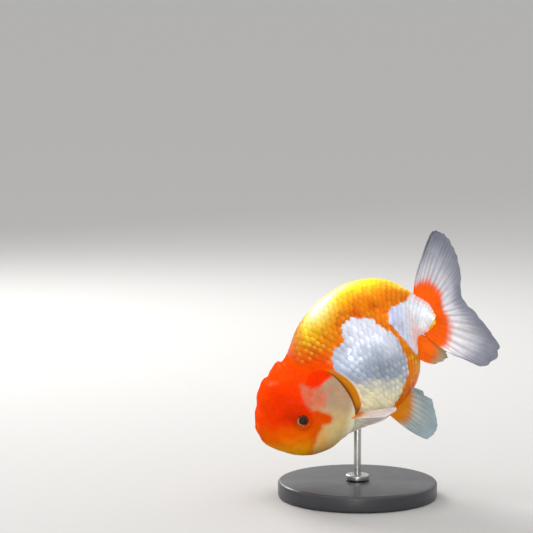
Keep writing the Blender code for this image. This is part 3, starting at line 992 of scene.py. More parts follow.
@dataclass
class NodeSheet:
    """A material's or a node group's nodes, with short ways to add and join them."""

    tree: bpy.types.NodeTree

    def add(self, kind: str, **settings: object) -> bpy.types.Node:
        """Adds a node.

        Args:
            kind: Its type, without the leading ShaderNode.
            settings: Properties to set on it.

        Returns:
            The node.
        """
        node = self.tree.nodes.new("ShaderNode" + kind)
        for name, value in settings.items():
            setattr(node, name, value)
        return node

    def feed(self, socket: bpy.types.NodeSocket, value: object) -> None:
        """Fills an input.

        Args:
            socket: The input.
            value: An output to join to it, or the input's own value.
        """
        if isinstance(value, bpy.types.NodeSocket):
            self.tree.links.new(value, socket)
        else:
            socket.default_value = value

    def dress(self, node: bpy.types.Node, **values: object) -> bpy.types.Node:
        """Feeds a node's inputs.

        Args:
            node: The node.
            values: What goes into each input, with spaces in the inputs' names written as underscores.

        Returns:
            The node.
        """
        for name, value in values.items():
            self.feed(node.inputs[name.replace("_", " ")], value)
        return node

    def maths(self, operation: str, *values: object) -> object:
        """A Math node's output.

        Args:
            operation: What it works out.
            values: Its inputs.

        Returns:
            The result.
        """
        node = self.add("Math", operation=operation)
        for socket, value in zip(node.inputs, values):
            self.feed(socket, value)
        return node.outputs[0]

    def ranged(self, value: object, low: float, high: float, to_low: float, to_high: float) -> object:
        """A value carried from one range to another.

        Args:
            value: The value.
            low: The first range's start.
            high: Its end.
            to_low: What low becomes.
            to_high: What high becomes.

        Returns:
            The new value, kept inside the second range.
        """
        node = self.add("MapRange")
        for socket, item in zip(node.inputs, (value, low, high, to_low, to_high)):
            self.feed(socket, item)
        return node.outputs[0]

    def mixed(self, share: object, first: object, second: object, blend_type: str = "MIX") -> object:
        """Two colours mixed.

        Args:
            share: How much of the second there is.
            first: A colour.
            second: The colour laid over it.
            blend_type: How it is laid over.

        Returns:
            The mixed colour.
        """
        node = self.add("Mix", data_type="RGBA", blend_type=blend_type)
        sockets = [socket for socket in node.inputs if socket.type == "RGBA"]
        for socket, value in zip((node.inputs["Factor"], *sockets), (share, first, second)):
            self.feed(socket, value)
        return next(socket for socket in node.outputs if socket.type == "RGBA")

    def scaled(self, shade: object, factor: object) -> object:
        """A colour made lighter or darker by a factor."""
        node = self.dress(self.add("VectorMath", operation="SCALE"), Vector=shade, Scale=factor)
        return node.outputs["Vector"]

    def attribute(self, name: str, output: str = "Fac") -> object:
        """One of the piece's own attributes."""
        return self.add("Attribute", attribute_name=name).outputs[output]

    def here(self) -> object:
        """The Object coordinates."""
        return self.add("TexCoord").outputs["Object"]

    def noise(self, size: float, detail: float = 2.0) -> object:
        """Noise in the piece's own space; size is the size of its swells in millimetres."""
        node = self.dress(self.add("TexNoise"), Vector=self.here(), Scale=1.0 / (size * MM), Detail=detail)
        return node.outputs["Fac"]

    def cells(self, size: float) -> object:
        """Distance to the nearest of scattered points; size is their spacing in millimetres."""
        node = self.add("TexVoronoi", feature="SMOOTH_F1")
        return self.dress(node, Vector=self.here(), Scale=1.0 / (size * MM)).outputs["Distance"]

    def bump(self, height: object, depth: float, strength: float) -> object:
        """A normal from a height; depth is in millimetres."""
        node = self.dress(self.add("Bump"), Strength=strength, Distance=depth * MM, Height=height)
        return node.outputs["Normal"]

    def group(self, tree: bpy.types.NodeTree, **values: object) -> bpy.types.Node:
        """Places a node group and feeds its inputs."""
        return self.dress(self.add("Group", node_tree=tree), **values)

    def mottled(self, shade: object, clouds: float, flecks: float) -> object:
        """A colour with uneven pigment."""
        return self.group(MOTTLE, Color=shade, Clouds=clouds, Flecks=flecks).outputs["Color"]

    def markings(self, clouds: float, flecks: float) -> object:
        """The piece's own colours, with uneven pigment."""
        return self.mottled(self.attribute("Markings", "Color"), clouds, flecks)


def new_group(name: str, inputs: dict[str, str], outputs: dict[str, str]) -> tuple[NodeSheet, object, object]:
    """Starts a node group.

    Args:
        name: The group's name.
        inputs: Socket types by input name.
        outputs: Socket types by output name.

    Returns:
        Its sheet, its input node and its output node.
    """
    tree = bpy.data.node_groups.new(name, "ShaderNodeTree")
    for sockets, way in ((inputs, "INPUT"), (outputs, "OUTPUT")):
        for title, kind in sockets.items():
            tree.interface.new_socket(title, in_out=way, socket_type="NodeSocket" + kind)
    return NodeSheet(tree), tree.nodes.new("NodeGroupInput"), tree.nodes.new("NodeGroupOutput")


def mottle_group() -> bpy.types.NodeTree:
    """Uneven pigment: a colour that wanders lighter and darker in soft clouds and fine flecks."""
    sheet, given, made = new_group(
        "Mottle", {"Color": "Color", "Clouds": "Float", "Flecks": "Float"}, {"Color": "Color"}
    )
    clouds = sheet.ranged(sheet.noise(5.0, 3.0), 0.3, 0.7, -1.0, 1.0)
    flecks = sheet.ranged(sheet.noise(0.7, 2.0), 0.3, 0.7, -1.0, 1.0)
    change = sheet.maths("MULTIPLY_ADD", clouds, given.outputs["Clouds"], 1.0)
    change = sheet.maths("MULTIPLY_ADD", flecks, given.outputs["Flecks"], change)
    sheet.dress(made, Color=sheet.scaled(given.outputs["Color"], change))
    return sheet.tree


def grain_group() -> bpy.types.NodeTree:
    """A fine uneven surface, as a height from 0 to 1 and a mask of its high spots."""
    sheet, given, made = new_group("Fine grain", {"Pores": "Float"}, {"Height": "Float", "Mask": "Float"})
    swell = sheet.noise(1.1, 4.0)
    pores = sheet.ranged(sheet.cells(0.45), 0.0, 0.5, 0.0, 1.0)
    height = sheet.maths("MULTIPLY_ADD", pores, given.outputs["Pores"], swell)
    sheet.dress(made, Height=height, Mask=sheet.ranged(swell, 0.4, 0.65, 0.0, 1.0))
    return sheet.tree


MOTTLE = mottle_group()
GRAIN = grain_group()


def new_material(name: str) -> tuple[bpy.types.Material, NodeSheet, bpy.types.ShaderNodeBsdfPrincipled]:
    """A material with its sheet and its Principled shader."""
    material = bpy.data.materials.new(name)
    material.use_nodes = True
    return material, NodeSheet(material.node_tree), material.node_tree.nodes["Principled BSDF"]


@dataclass(frozen=True)
class SkinFinish:
    """Moist bare skin: the hood, the gill covers and what shows between scales."""

    dry: float = 0.5
    moist: float = 0.38
    grain_depth: float = 0.1
    softness: float = 0.1
    bleed: Place = (1.0, 0.35, 0.15)
    bleed_depth: float = 1.2
    wetness: float = 0.025

    def build(self) -> bpy.types.Material:
        """The skin's material."""
        material, sheet, shader = new_material("skin")
        grain = sheet.group(GRAIN, Pores=0.5)
        sheet.dress(
            shader,
            Base_Color=sheet.markings(clouds=0.07, flecks=0.07),
            Roughness=sheet.ranged(grain.outputs["Mask"], 0.0, 1.0, self.dry, self.moist),
            Normal=sheet.bump(grain.outputs["Height"], self.grain_depth, 0.8),
            Specular_IOR_Level=0.0,
            Coat_Weight=self.wetness,
            Coat_Roughness=0.2,
            Subsurface_Weight=self.softness,
            Subsurface_Radius=self.bleed,
            Subsurface_Scale=self.bleed_depth * MM,
        )
        return material


@dataclass(frozen=True)
class ScaleFinish:
    """A glossy scale: growth rings, a pearly middle, painted shade at its root, a painted glint at its tip.
    """

    shine: float = 0.36
    gold_glint: tuple[float, ...] = (1.0, 0.86, 0.10, 1.0)
    pearl_glint: tuple[float, ...] = (1.0, 1.0, 0.98, 1.0)
    overlap_shade: tuple[float, ...] = (0.62, 0.66, 0.8, 1.0)
    rings: float = 70.0
    fans: float = 26.0
    relief: float = 0.015

    def build(self) -> bpy.types.Material:
        """The scales' material."""
        material, sheet, shader = new_material("scales")
        reach, spark = sheet.attribute("Reach"), sheet.attribute("Spark")
        paint = sheet.markings(clouds=0.08, flecks=0.06)
        # Painted glint: a gold or white spot on each scale's free edge, laid over its colour.
        blue = sheet.dress(sheet.add("SeparateColor"), Color=paint).outputs["Blue"]
        glint = sheet.mixed(sheet.ranged(blue, 0.05, 0.35, 0.0, 1.0), self.gold_glint, self.pearl_glint)
        tinted = sheet.mixed(sheet.attribute("Glint"), paint, glint)
        # Painted shade: each scale darker towards its root, where it lies under its neighbours.
        hidden = sheet.ranged(reach, 0.56, 0.8, 0.52, 0.0)
        shaded = sheet.mixed(hidden, tinted, self.overlap_shade, "MULTIPLY")
        rings = sheet.maths("SINE", sheet.maths("MULTIPLY", reach, self.rings))
        fans = sheet.maths("SINE", sheet.maths("MULTIPLY", sheet.attribute("Fan"), self.fans))
        sheet.dress(
            shader,
            Base_Color=sheet.scaled(shaded, sheet.ranged(spark, 0.0, 1.0, 0.93, 1.07)),
            Roughness=sheet.ranged(spark, 0.0, 1.0, 0.4, 0.26),
            Normal=sheet.bump(sheet.maths("MULTIPLY_ADD", fans, 0.4, rings), self.relief, 0.5),
            Metallic=self.shine,
            IOR=1.19,
            Coat_Weight=0.04,
            Coat_Roughness=0.12,
        )
        return material


@dataclass(frozen=True)
class FinFinish:
    """Translucent membrane over thicker rays, with faint joints along the rays."""

    name: str
    membrane: float = 0.74
    ray: float = 0.94
    joints: float = 300.0
    joint_shade: tuple[float, ...] = (0.16, 0.15, 0.18, 1.0)

    def build(self) -> bpy.types.Material:
        """The fin's material."""
        material, sheet, shader = new_material(self.name)
        ray = sheet.attribute("Ray")
        wave = sheet.maths("SINE", sheet.maths("MULTIPLY", sheet.attribute("Reach"), self.joints))
        joints = sheet.maths("MULTIPLY", sheet.ranged(wave, 0.5, 1.0, 0.0, 0.16), ray)
        clear = sheet.ranged(ray, 0.0, 1.0, self.membrane, self.ray)
        sheet.dress(
            shader,
            Base_Color=sheet.mixed(joints, sheet.markings(clouds=0.1, flecks=0.05), self.joint_shade),
            Alpha=sheet.maths("MAXIMUM", clear, sheet.attribute("Solid")),
            Roughness=sheet.ranged(ray, 0.0, 1.0, 0.46, 0.54),
            Normal=sheet.bump(sheet.noise(0.6, 3.0), 0.04, 0.4),
            IOR=1.16,
        )
        return material


@dataclass(frozen=True)
class EyeFinish:
    """A glossy eye: near-black pupil, thin dull iris, dark rim. Distances come from the mesh."""

    pupil: str = "341212"
    iris: str = "4C3C1C"
    glow: str = "A8A074"
    rim: str = "4A1C08"
    pupil_edge: Ramp = (0.52, 0.56)
    rim_edge: Ramp = (0.66, 0.74)

    def build(self) -> bpy.types.Material:
        """The eye's material."""
        material, sheet, shader = new_material("eye")
        out = sheet.attribute("Out")
        ring = sheet.mixed(sheet.attribute("Glow"), opaque(self.iris), opaque(self.glow))
        ring = sheet.scaled(ring, sheet.ranged(sheet.noise(0.35, 3.0), 0.3, 0.7, 0.75, 1.15))
        inner = sheet.mixed(sheet.ranged(out, *self.pupil_edge, 0.0, 1.0), opaque(self.pupil), ring)
        sheet.dress(
            shader,
            Base_Color=sheet.mixed(sheet.ranged(out, *self.rim_edge, 0.0, 1.0), inner, opaque(self.rim)),
            Roughness=sheet.ranged(out, 0.5, 0.6, 0.08, 0.2),
            Specular_IOR_Level=0.12,
            Coat_Weight=0.1,
            Coat_Roughness=0.03,
        )
        return material


@dataclass(frozen=True)
class PaintedMetal:
    """Dark satin paint with a faint orange-peel surface."""

    shade: str = "303136"

    def build(self) -> bpy.types.Material:
        """The paint's material."""
        material, sheet, shader = new_material("stand_paint")
        sheet.dress(
            shader,
            Base_Color=sheet.mottled(opaque(self.shade), clouds=0.05, flecks=0.04),
            Roughness=sheet.ranged(sheet.noise(9.0), 0.3, 0.7, 0.38, 0.44),
            Normal=sheet.bump(sheet.noise(0.5), 0.006, 0.5),
            Coat_Weight=0.15,
        )
        return material


@dataclass(frozen=True)
class BrushedSteel:
    """Steel with fine brush lines round it."""

    shade: str = "B4B4B2"
    brush: Place = (300.0, 300.0, 9000.0)

    def build(self) -> bpy.types.Material:
        """The steel's material."""
        material, sheet, shader = new_material("stand_steel")
        stretched = sheet.dress(sheet.add("Mapping"), Vector=sheet.here(), Scale=self.brush)
        noise = sheet.dress(sheet.add("TexNoise"), Vector=stretched.outputs["Vector"], Scale=1.0)
        lines = noise.outputs["Fac"]
        sheet.dress(
            shader,
            Base_Color=opaque(self.shade),
            Metallic=1.0,
            Roughness=sheet.ranged(lines, 0.3, 0.7, 0.24, 0.4),
            Normal=sheet.bump(lines, 0.01, 0.4),
        )
        return material


@dataclass(frozen=True)
class Backdrop:
    """The plain pale floor."""

    shade: str = "B6B5B3"

    def build(self) -> bpy.types.Material:
        """The floor's material."""
        material, sheet, shader = new_material("floor")
        paint = sheet.mottled(opaque(self.shade), clouds=0.01, flecks=0.0)
        sheet.dress(shader, Base_Color=paint, Roughness=0.9, Specular_IOR_Level=0.2)
        return material


# -------------------- the skin


class Furrow(NamedTuple):
    """A soft crease of the bare head as seen from the side, the same on both sides."""

    name: str
    start: Spot
    end: Spot
    depth: float
    width: float


FURROWS = (
    Furrow("before the crown", (-55.0, 65.6), (-45.0, 69.8), 1.4, 1.7),
    Furrow("front of the crown", (-53.5, 68.5), (-43.0, 73.5), 1.0, 3.6),
    Furrow("over the snout", (-60.0, 49.0), (-52.0, 53.0), 0.9, 4.0),
    Furrow("under the crown", (-53.0, 66.2), (-36.0, 67.6), 0.3, 1.2),
    Furrow("down the temple", (-37.5, 67.0), (-35.2, 55.0), 0.18, 1.5),
    Furrow("over the eye", (-39.5, 53.6), (-29.0, 53.2), 0.28, 0.8),
    Furrow("before the eye", (-47.5, 57.0), (-43.0, 45.5), 0.25, 1.2),
    Furrow("over the muzzle", (-55.5, 50.0), (-47.5, 43.5), 0.28, 1.0),
    Furrow("down the cheek", (-38.5, 38.5), (-30.5, 31.0), 0.22, 1.2),
    Furrow("along the jaw", (-47.0, 31.5), (-31.0, 28.5), 0.25, 1.0),
    Furrow("before the gill cover", (-31.5, 64.0), (-27.5, 43.0), 0.22, 1.4),
    Furrow("across the gill cover", (-25.0, 52.5), (-11.0, 56.0), 0.14, 1.6),
)


@dataclass(frozen=True)
class Skin:
    """One skin over head, trunk and peduncle.

    It runs from the mouth to the tail root without a seam. Its grid follows the gill covers' edge,
    where it folds under to make their free rim.
    """

    around: int = 300
    head_rows: int = 150
    trunk_rows: int = 150
    tip: float = 0.04
    edge_place: float = NAPE + 0.6
    middle: float = NAPE + 0.8
    rim: tuple[Ramp, ...] = ((0.0, 1.0), (0.012, 0.72), (0.004, 0.42), (-0.04, 0.2), (-0.05, 0.0))
    flat_step: float = 0.012
    coat_depth: float = 0.4
    coat_gap: float = 0.21
    coat_step: Ramp = (0.15, 0.7)
    pebble_height: float = 0.1
    nostril_depth: float = 1.3
    socket_reach: float = 9.0
    socket_back: float = -3.0
    socket_snap: float = 0.3
    socket_crest: float = 0.5
    socket_fold: Ramp = (0.55, 1.15)
    socket_dip: float = 0.22
    socket_floor: float = 0.55
    root_place: Ramp = (13.95, 14.05)

    @property
    def trunk_start(self) -> int:
        """The trunk's first row, behind the rows of the gill covers' rim."""
        return self.head_rows + len(self.rim) - 1

    def spacing(self, start: float, end: float, count: int) -> Array:
        """Places from start to end, an even distance apart along the body.

        Args:
            start: The first place.
            end: The last place.
            count: How many.

        Returns:
            The places, as parts of the way from start to end.
        """
        places = np.linspace(start, end, 400)
        steps = []
        for angle in (0.3, 1.2, 2.2, 3.0):
            points = BODY.point(places, np.full_like(places, angle))
            steps.append(np.linalg.norm(np.diff(points, axis=0), axis=1))
        travelled = np.concatenate([[0.0], np.cumsum(np.mean(steps, axis=0))])
        even = np.interp(np.linspace(0.0, travelled[-1], count), travelled, places)
        return (even - start) / (end - start)

    def lattice(self) -> tuple[bpy.types.Mesh, Array, Array]:
        """A grid rolled up and closed at both ends.

        Returns:
            The mesh, each point's row from the mouth (0) to the tail root, and its turn round the
            body from the back.
        """
        rows = self.trunk_start + 1 + self.trunk_rows
        bm = bmesh.new()
        bmesh.ops.create_grid(bm, x_segments=self.around, y_segments=rows, size=1.0)
        for vertex in bm.verts:
            turn, polar = math.pi * vertex.co.x, math.pi * (1.0 - vertex.co.y) / 2.0
            ring = math.sin(polar)
            vertex.co = (ring * math.sin(turn), ring * math.cos(turn), math.cos(polar))
        bmesh.ops.remove_doubles(bm, verts=bm.verts, dist=1e-5)
        mesh = meshed(bm, "skin")
        ball = coordinates(mesh)
        polar = np.arctan2(np.hypot(ball[:, 0], ball[:, 1]), ball[:, 2])
        row = np.rint(polar / math.pi * rows).astype(int)
        return mesh, row, np.where(row == 0, 0.0, np.arctan2(ball[:, 0], ball[:, 1]))

    def squared(self, turn: Array, place: float | Array) -> Array:
        """The body's angle for an even turn round its rounded-square section."""
        half = BODY.column("square", place) / 2.0
        return np.arctan2(powered(np.sin(turn), half), powered(np.cos(turn), half))

    def rim_at(self, row: Array) -> Array:
        """Each row's place on the gill covers' rim: how far behind their edge, and how far lifted."""
        return np.array(self.rim)[np.clip(row - self.head_rows, 0, len(self.rim) - 1)]

    def places(self, row: Array, line: Array, brink: Array) -> Array:
        """Where each point lies along the body.

        Args:
            row: The points' rows.
            line: Where the head ends at their turn.
            brink: How free the gill covers' edge is there.

        Returns:
            Fractional section indices.
        """
        head_share = self.spacing(self.tip, self.middle, self.head_rows)
        trunk_share = self.spacing(self.middle, LAST - self.tip, self.trunk_rows + 1)
        fore = self.tip + (line - self.tip) * head_share[np.clip(row - 1, 0, self.head_rows - 1)]
        flat = self.flat_step * (1.0 - brink)
        first = line + self.rim[-1][0] * brink + flat * (len(self.rim) - 1)
        behind = row - self.trunk_start
        rear = first + (LAST - self.tip - first) * trunk_share[np.clip(behind, 0, self.trunk_rows)]
        folded = line + self.rim_at(row)[:, 0] * brink + flat * (row - self.head_rows)
        place = np.where(row <= self.head_rows, fore, np.where(behind >= 0, rear, folded))
        return np.where(row == 0, 0.0, np.where(behind > self.trunk_rows, LAST, place))

    def build(self, material: bpy.types.Material) -> bpy.types.Object:
        """Makes the skin.

        Args:
            material: Its finish.

        Returns:
            The piece.
        """
        mesh, row, turn = self.lattice()
        edge = self.squared(turn, self.edge_place)
        line, brink = BODY.gill_line(edge), BODY.brink(edge)
        place = self.places(row, line, brink)
        angle = self.squared(turn, place)
        on_head = row < self.trunk_start
        bare, normal = BODY.point(place, angle), BODY.slopes(place, angle)[2]
        flank = 0.5 + 0.5 * np.sin(angle) ** 2
        lift = BODY.gill_lift * flank * brink * smoothstep(line - 1.6, line - 0.3, place)
        begins = line + self.coat_gap * BODY.crescent(angle)
        whole = begins + self.coat_step[0] + self.coat_step[1] * (1.0 - brink)
        inset = self.coat_depth * smoothstep(begins, whole, place)
        relief = np.where(on_head, self.relief(bare, place, angle, line), -inset)
        points = BODY.point(place, angle, lift * self.rim_at(row)[:, 1]) + normal * relief[:, None]
        for side in Side:
            points = self.socket(points, side)
        place_points(mesh, points)
        store(mesh, "Markings", self.paint(points, bare, place, angle, on_head))
        return finished(mesh, "skin", material, "skin", "head", "trunk", "peduncle")

    def relief(self, points: Array, place: Array, angle: Array, line: Array) -> Array:
        """The bare head's fine shape.

        Args:
            points: Places in millimetres.
            place: Their fractional section indices.
            angle: Their angles from the back.
            line: Where the head ends.

        Returns:
            The height of the hood's grains, swells and creases, less the nostrils' depth.
        """
        hood = fade(line - 1.8, line - 0.9, place)
        grains = pebbles(points, 2.1, 3) + 0.5 * pebbles(points, 1.2, 9) - 0.7
        swells = 0.2 * ripple(points, 5.0, 5) + 0.12 * ripple(points, 2.6, 6)
        height = self.pebble_height * grains * hood + swells * (0.3 + 0.7 * hood)
        height -= self.creases(points) + self.nostril_depth * nostrils(points)
        return height * (1.0 - (1.0 - BODY.brink(angle)) * smoothstep(line - 0.7, line, place))

    def creases(self, points: Array) -> Array:
        """The depth of the head's furrows at each point."""
        depth = np.zeros(len(points))
        waver = 1.0 + 0.25 * ripple(points, 3.0, 7)
        for furrow in FURROWS:
            part, away = off_stretch(points[:, 0], points[:, 2], furrow.start, furrow.end)
            ends = np.sin(math.pi * np.clip(part, 0.08, 0.92))
            depth += furrow.depth * bell(away, furrow.width * waver) * ends
        return depth

    def socket(self, points: Array, side: Side) -> Array:
        """Draws the skin up round one eye into a soft fold with a crisp inner edge.

        Args:
            points: The skin's points.
            side: Which eye.

        Returns:
            The points, moved near the eye.
        """
        way, centre, edge = EYE.outward(side), EYE.centre(side), EYE.opening
        away = points - centre
        depth = away @ way
        flat = away - depth[:, None] * way
        out = np.linalg.norm(flat, axis=1)
        snapped = np.where(out < edge, edge - 0.12, edge + 0.06)
        ring = np.where(np.abs(out - edge) < self.socket_snap, snapped, out)
        ball = np.sqrt(np.maximum(EYE.radius**2 - ring**2, 0.0))
        crest = math.sqrt(EYE.radius**2 - edge**2) + self.socket_crest
        raised = depth + (crest - depth) * bell(ring - edge - self.socket_fold[0], self.socket_fold[1])
        raised = np.where(ring < edge + self.socket_snap, crest - self.socket_dip, raised)
        raised = np.where(ring < edge, ball - self.socket_floor, raised)
        moved = centre + flat * (ring / np.maximum(out, 1e-6))[:, None] + raised[:, None] * way
        near = (out < self.socket_reach) & (depth > self.socket_back)
        return np.where(near[:, None], moved, points)

    def paint(self, points: Array, bare: Array, place: Array, angle: Array, on_head: Array) -> Array:
        """The skin's colours.

        Args:
            points: The skin's points.
            bare: The same points on the smooth body.
            place: Their fractional section indices.
            angle: Their angles from the back.
            on_head: Whether each is on the head.

        Returns:
            Linear colours, one row for each point.
        """
        left = (points[:, 1] < 0.0)[:, None]
        trunk = np.where(left, *(MARKINGS.trunk(bare, place, angle, TRUNK_SEED[side]) for side in Side))
        head = np.where(left, *(MARKINGS.head(bare, HEAD_SEED[side]) for side in Side))
        rooted = smoothstep(*self.root_place, place + 0.25 * ripple(bare, 1.6, 31))
        return over(np.where(on_head[:, None], head, trunk), MARKINGS.fin_root, rooted)


# -------------------- the scales


# Where the painted glints on the scales are strongest.
SHOULDER_GLINT = Oval(7.15, 40.0, 0.5, 16.0)
PEARL_GLINT = Oval(8.6, 67.0, 0.6, 12.0)


@dataclass(frozen=True)
class ScaleCoat:
    """Overlapping scales in staggered rows from the gill covers to the tail root."""

    stops: tuple[float, ...] = (6.0, 9.0, 11.5, 12.8, 14.6)
    pitch_along: tuple[float, ...] = (2.8, 2.8, 2.5, 2.0, 1.7)
    pitch_across: tuple[float, ...] = (3.8, 4.1, 3.4, 2.5, 2.1)
    slimness: tuple[float, ...] = (1.0, 1.0, 0.85, 0.7, 0.6)
    half_length: float = 1.4
    half_width: float = 0.74
    root: float = -0.7
    thickness: float = 0.08
    crown: float = 0.05
    tilt: float = 0.38
    dip: float = 0.05
    dip_start: float = 0.64
    growth: float = 0.05
    spin: float = 0.04
    tip_play: float = 0.03
    roll_play: float = 0.025
    sunk: float = 0.35
    raised_place: Ramp = (13.8, 14.5)
    raised: Ramp = (0.6, 2.8)
    columns: int = 6
    rows: int = 5
    most_rows: int = 60
    end: float = 14.55
    ragged: float = 0.8
    pull: float = 0.45
    patch: float = 0.003

    def template(self) -> tuple[bpy.types.Mesh, Array]:
        """One scale as a flat closed plate.

        Returns:
            Its mesh, and for each point its place across (-1 to 1), along (root to 1) and its face.
        """
        mesh = plate("scale", self.columns, self.rows)
        square = coordinates(mesh)
        u = square[:, 0]
        v = self.root + (1.0 - self.root) * (square[:, 1] + 1.0) / 2.0
        across = u * np.sqrt(1.0 - 0.3 * v * v)
        along = v * (1.0 - 0.28 * u * u)
        return mesh, np.stack([across, along, square[:, 2]], axis=1)

    def reach(self, local: Array) -> Array:
        """How far each of a scale's points is from its root: 0 there, and 1 at its tip."""
        return (local[:, 1] - self.root) / (1.0 - self.root)

    def roots(self, side: Side) -> Array:
        """Where the scales of one side sit.

        Args:
            side: Which flank. The row along the back goes with the left.

        Returns:
            Rows of place, angle, change of angle for one section along the row, pitch along and
            pitch across.
        """
        places = np.linspace(self.stops[0], self.stops[-1] + 0.1, 500)
        turns = np.linspace(0.0, math.pi, 240)
        grid = BODY.point(places[:, None], turns[None, :])
        steps = np.linalg.norm(np.diff(grid, axis=1), axis=2)
        arcs = np.concatenate([np.zeros((len(places), 1)), np.cumsum(steps, axis=1)], axis=1)
        flank = np.linalg.norm(np.diff(grid[:, 100], axis=0), axis=1)
        along = np.interp(places, self.stops, self.pitch_along)
        across = np.interp(places, self.stops, self.pitch_across)
        counted = np.concatenate([[0.0], np.cumsum(flank / along[:-1])])
        found = []
        chance = np.random.default_rng(70 + side.value)
        for row in range(0 if side is Side.LEFT else 1, self.most_rows):
            reach = row * across
            angles = np.array([np.interp(r, arc, turns) for r, arc in zip(reach, arcs)])
            drift = np.gradient(angles, places)
            starts = BODY.gill_line(angles) + BODY.bare_width(angles)
            for step in range(int(counted[-1]) + 1):
                count = step + 0.5 * (row % 2)
                at = min(len(places) - 1, int(np.searchsorted(counted, count)))
                inside = reach[at] < arcs[at, -1] - 0.3 * across[at]
                if starts[at] < places[at] < self.end - self.ragged * chance.random() ** 2 and inside:
                    found.append((places[at], angles[at], drift[at], along[at], across[at]))
        return np.array(found)

    def laid(self, roots: Array, local: Array, chance: np.random.Generator) -> tuple[Array, Array]:
        """Lays every scale along its row on the body.

        Args:
            roots: Where the scales sit.
            local: The template's points.
            chance: Random numbers, for sizes and slants.

        Returns:
            Each point's place and its angle, one row for each scale.
        """
        place, angle, drift, long, wide = roots.T
        slope, around, _ = BODY.slopes(place, angle)
        run = slope + around * drift[:, None]
        squared = (run * run).sum(axis=1)
        share = (around * run).sum(axis=1) / squared
        cross = np.linalg.norm(around - run * share[:, None], axis=1)
        grow = 1.0 + self.growth * chance.standard_normal(len(roots))
        spin = (self.spin * chance.standard_normal(len(roots)))[:, None]
        x = local[:, 0] * (wide * self.half_width * grow)[:, None]
        y = local[:, 1] * (long * self.half_length * grow)[:, None]
        x, y = x + y * spin, y - x * spin
        sections, turned = y / np.sqrt(squared)[:, None], x / cross[:, None]
        here = place[:, None] + sections - turned * share[:, None]
        turn = angle[:, None] + sections * drift[:, None] + turned * (1.0 - share * drift)[:, None]
        return np.clip(here, 0.0, LAST - 0.05), turn

    def heights(self, roots: Array, local: Array, chance: np.random.Generator) -> Array:
        """How high every scale's points stand over the body.

        Args:
            roots: Where the scales sit.
            local: The template's points.
            chance: Random numbers, for tilts and for the loose tips at the tail root.

        Returns:
            Heights in millimetres, one row for each scale.
        """
        place, angle = roots[:, 0], roots[:, 1]
        reach = self.reach(local)
        tip = self.tip_play * chance.standard_normal((len(roots), 1)) * reach
        roll = self.roll_play * chance.standard_normal((len(roots), 1)) * local[:, 0]
        beyond = place - BODY.gill_line(angle)
        hidden = (1.0 - BODY.brink(angle)) * fade(0.1, 1.3, beyond)
        slim = (np.interp(place, self.stops, self.slimness) * (1.0 - 0.6 * hidden))[:, None]
        bend = np.maximum(0.0, (local[:, 1] - self.dip_start) / (1.0 - self.dip_start)) ** 2
        shape = self.tilt * (1.0 - reach) + self.crown * local[:, 0] ** 2 + self.dip * bend
        height = (tip + roll - shape) * slim
        height += (local[:, 2] - 1.0) * self.thickness * (0.4 + 0.6 * slim)
        first = bell(beyond - BODY.bare_width(angle), 0.14) * BODY.crescent(angle)
        height -= self.sunk * first[:, None] * (1.0 - reach)
        loose = self.raised[0] + self.raised[1] * chance.random(len(roots))
        return height + (smoothstep(*self.raised_place, place) * loose)[:, None] * reach**2

    def build(self, side: Side, material: bpy.types.Material) -> bpy.types.Object:
        """Makes the scales of one side as one joined mesh.

        Args:
            side: Which flank.
            material: The scales' finish.

        Returns:
            The piece.
        """
        name = f"scales_{side.word}"
        template, local = self.template()
        roots = self.roots(side)
        bm = bmesh.new()
        for _ in roots:
            bm.from_mesh(template)
        mesh = meshed(bm, name)
        bpy.data.meshes.remove(template)
        chance = np.random.default_rng(20 + side.value)
        place, turn = (part.ravel() for part in self.laid(roots, local, chance))
        height = self.heights(roots, local, chance).ravel()
        base, normal = BODY.point(place, turn), BODY.slopes(place, turn)[2]
        points = base + normal * height[:, None]
        if side is Side.RIGHT:
            points[:, 1] *= -1.0
        place_points(mesh, points)
        seen = (self.pulled(part, len(local)) for part in (base, place, turn))
        store(mesh, "Markings", MARKINGS.trunk(*seen, TRUNK_SEED[side]))
        self.dress(mesh, side, roots, local, chance)
        return finished(mesh, name, material, "scales", crease=45.0)

    def glints(self, place: Array, angle: Array, chance: np.random.Generator) -> Array:
        """How strong each scale's painted glint is: most on shoulder, pale patch, belly and tail root.

        Args:
            place: The scales' fractional section indices.
            angle: Their angles from the back.
            chance: Random numbers.

        Returns:
            One number for each scale, from 0 to 1.
        """
        degrees = np.degrees(np.abs(angle))
        shoulder, pearls = SHOULDER_GLINT.at(place, degrees), PEARL_GLINT.at(place, degrees)
        belly = 0.7 * bell(degrees - 118.0, 14.0) * (place > 7.2)
        wrist = smoothstep(12.0, 13.2, place)
        share = 0.16 + 0.84 * np.maximum.reduce([shoulder, pearls, belly, wrist])
        return share * smoothstep(0.15, 0.75, chance.random(len(place)))

    def pulled(self, values: Array, size: int) -> Array:
        """Draws the values of each scale's points, size in all, partly together, so its colours step."""
        each = values.reshape(-1, size, *values.shape[1:])
        return (each + self.pull * (each.mean(axis=1, keepdims=True) - each)).reshape(values.shape)

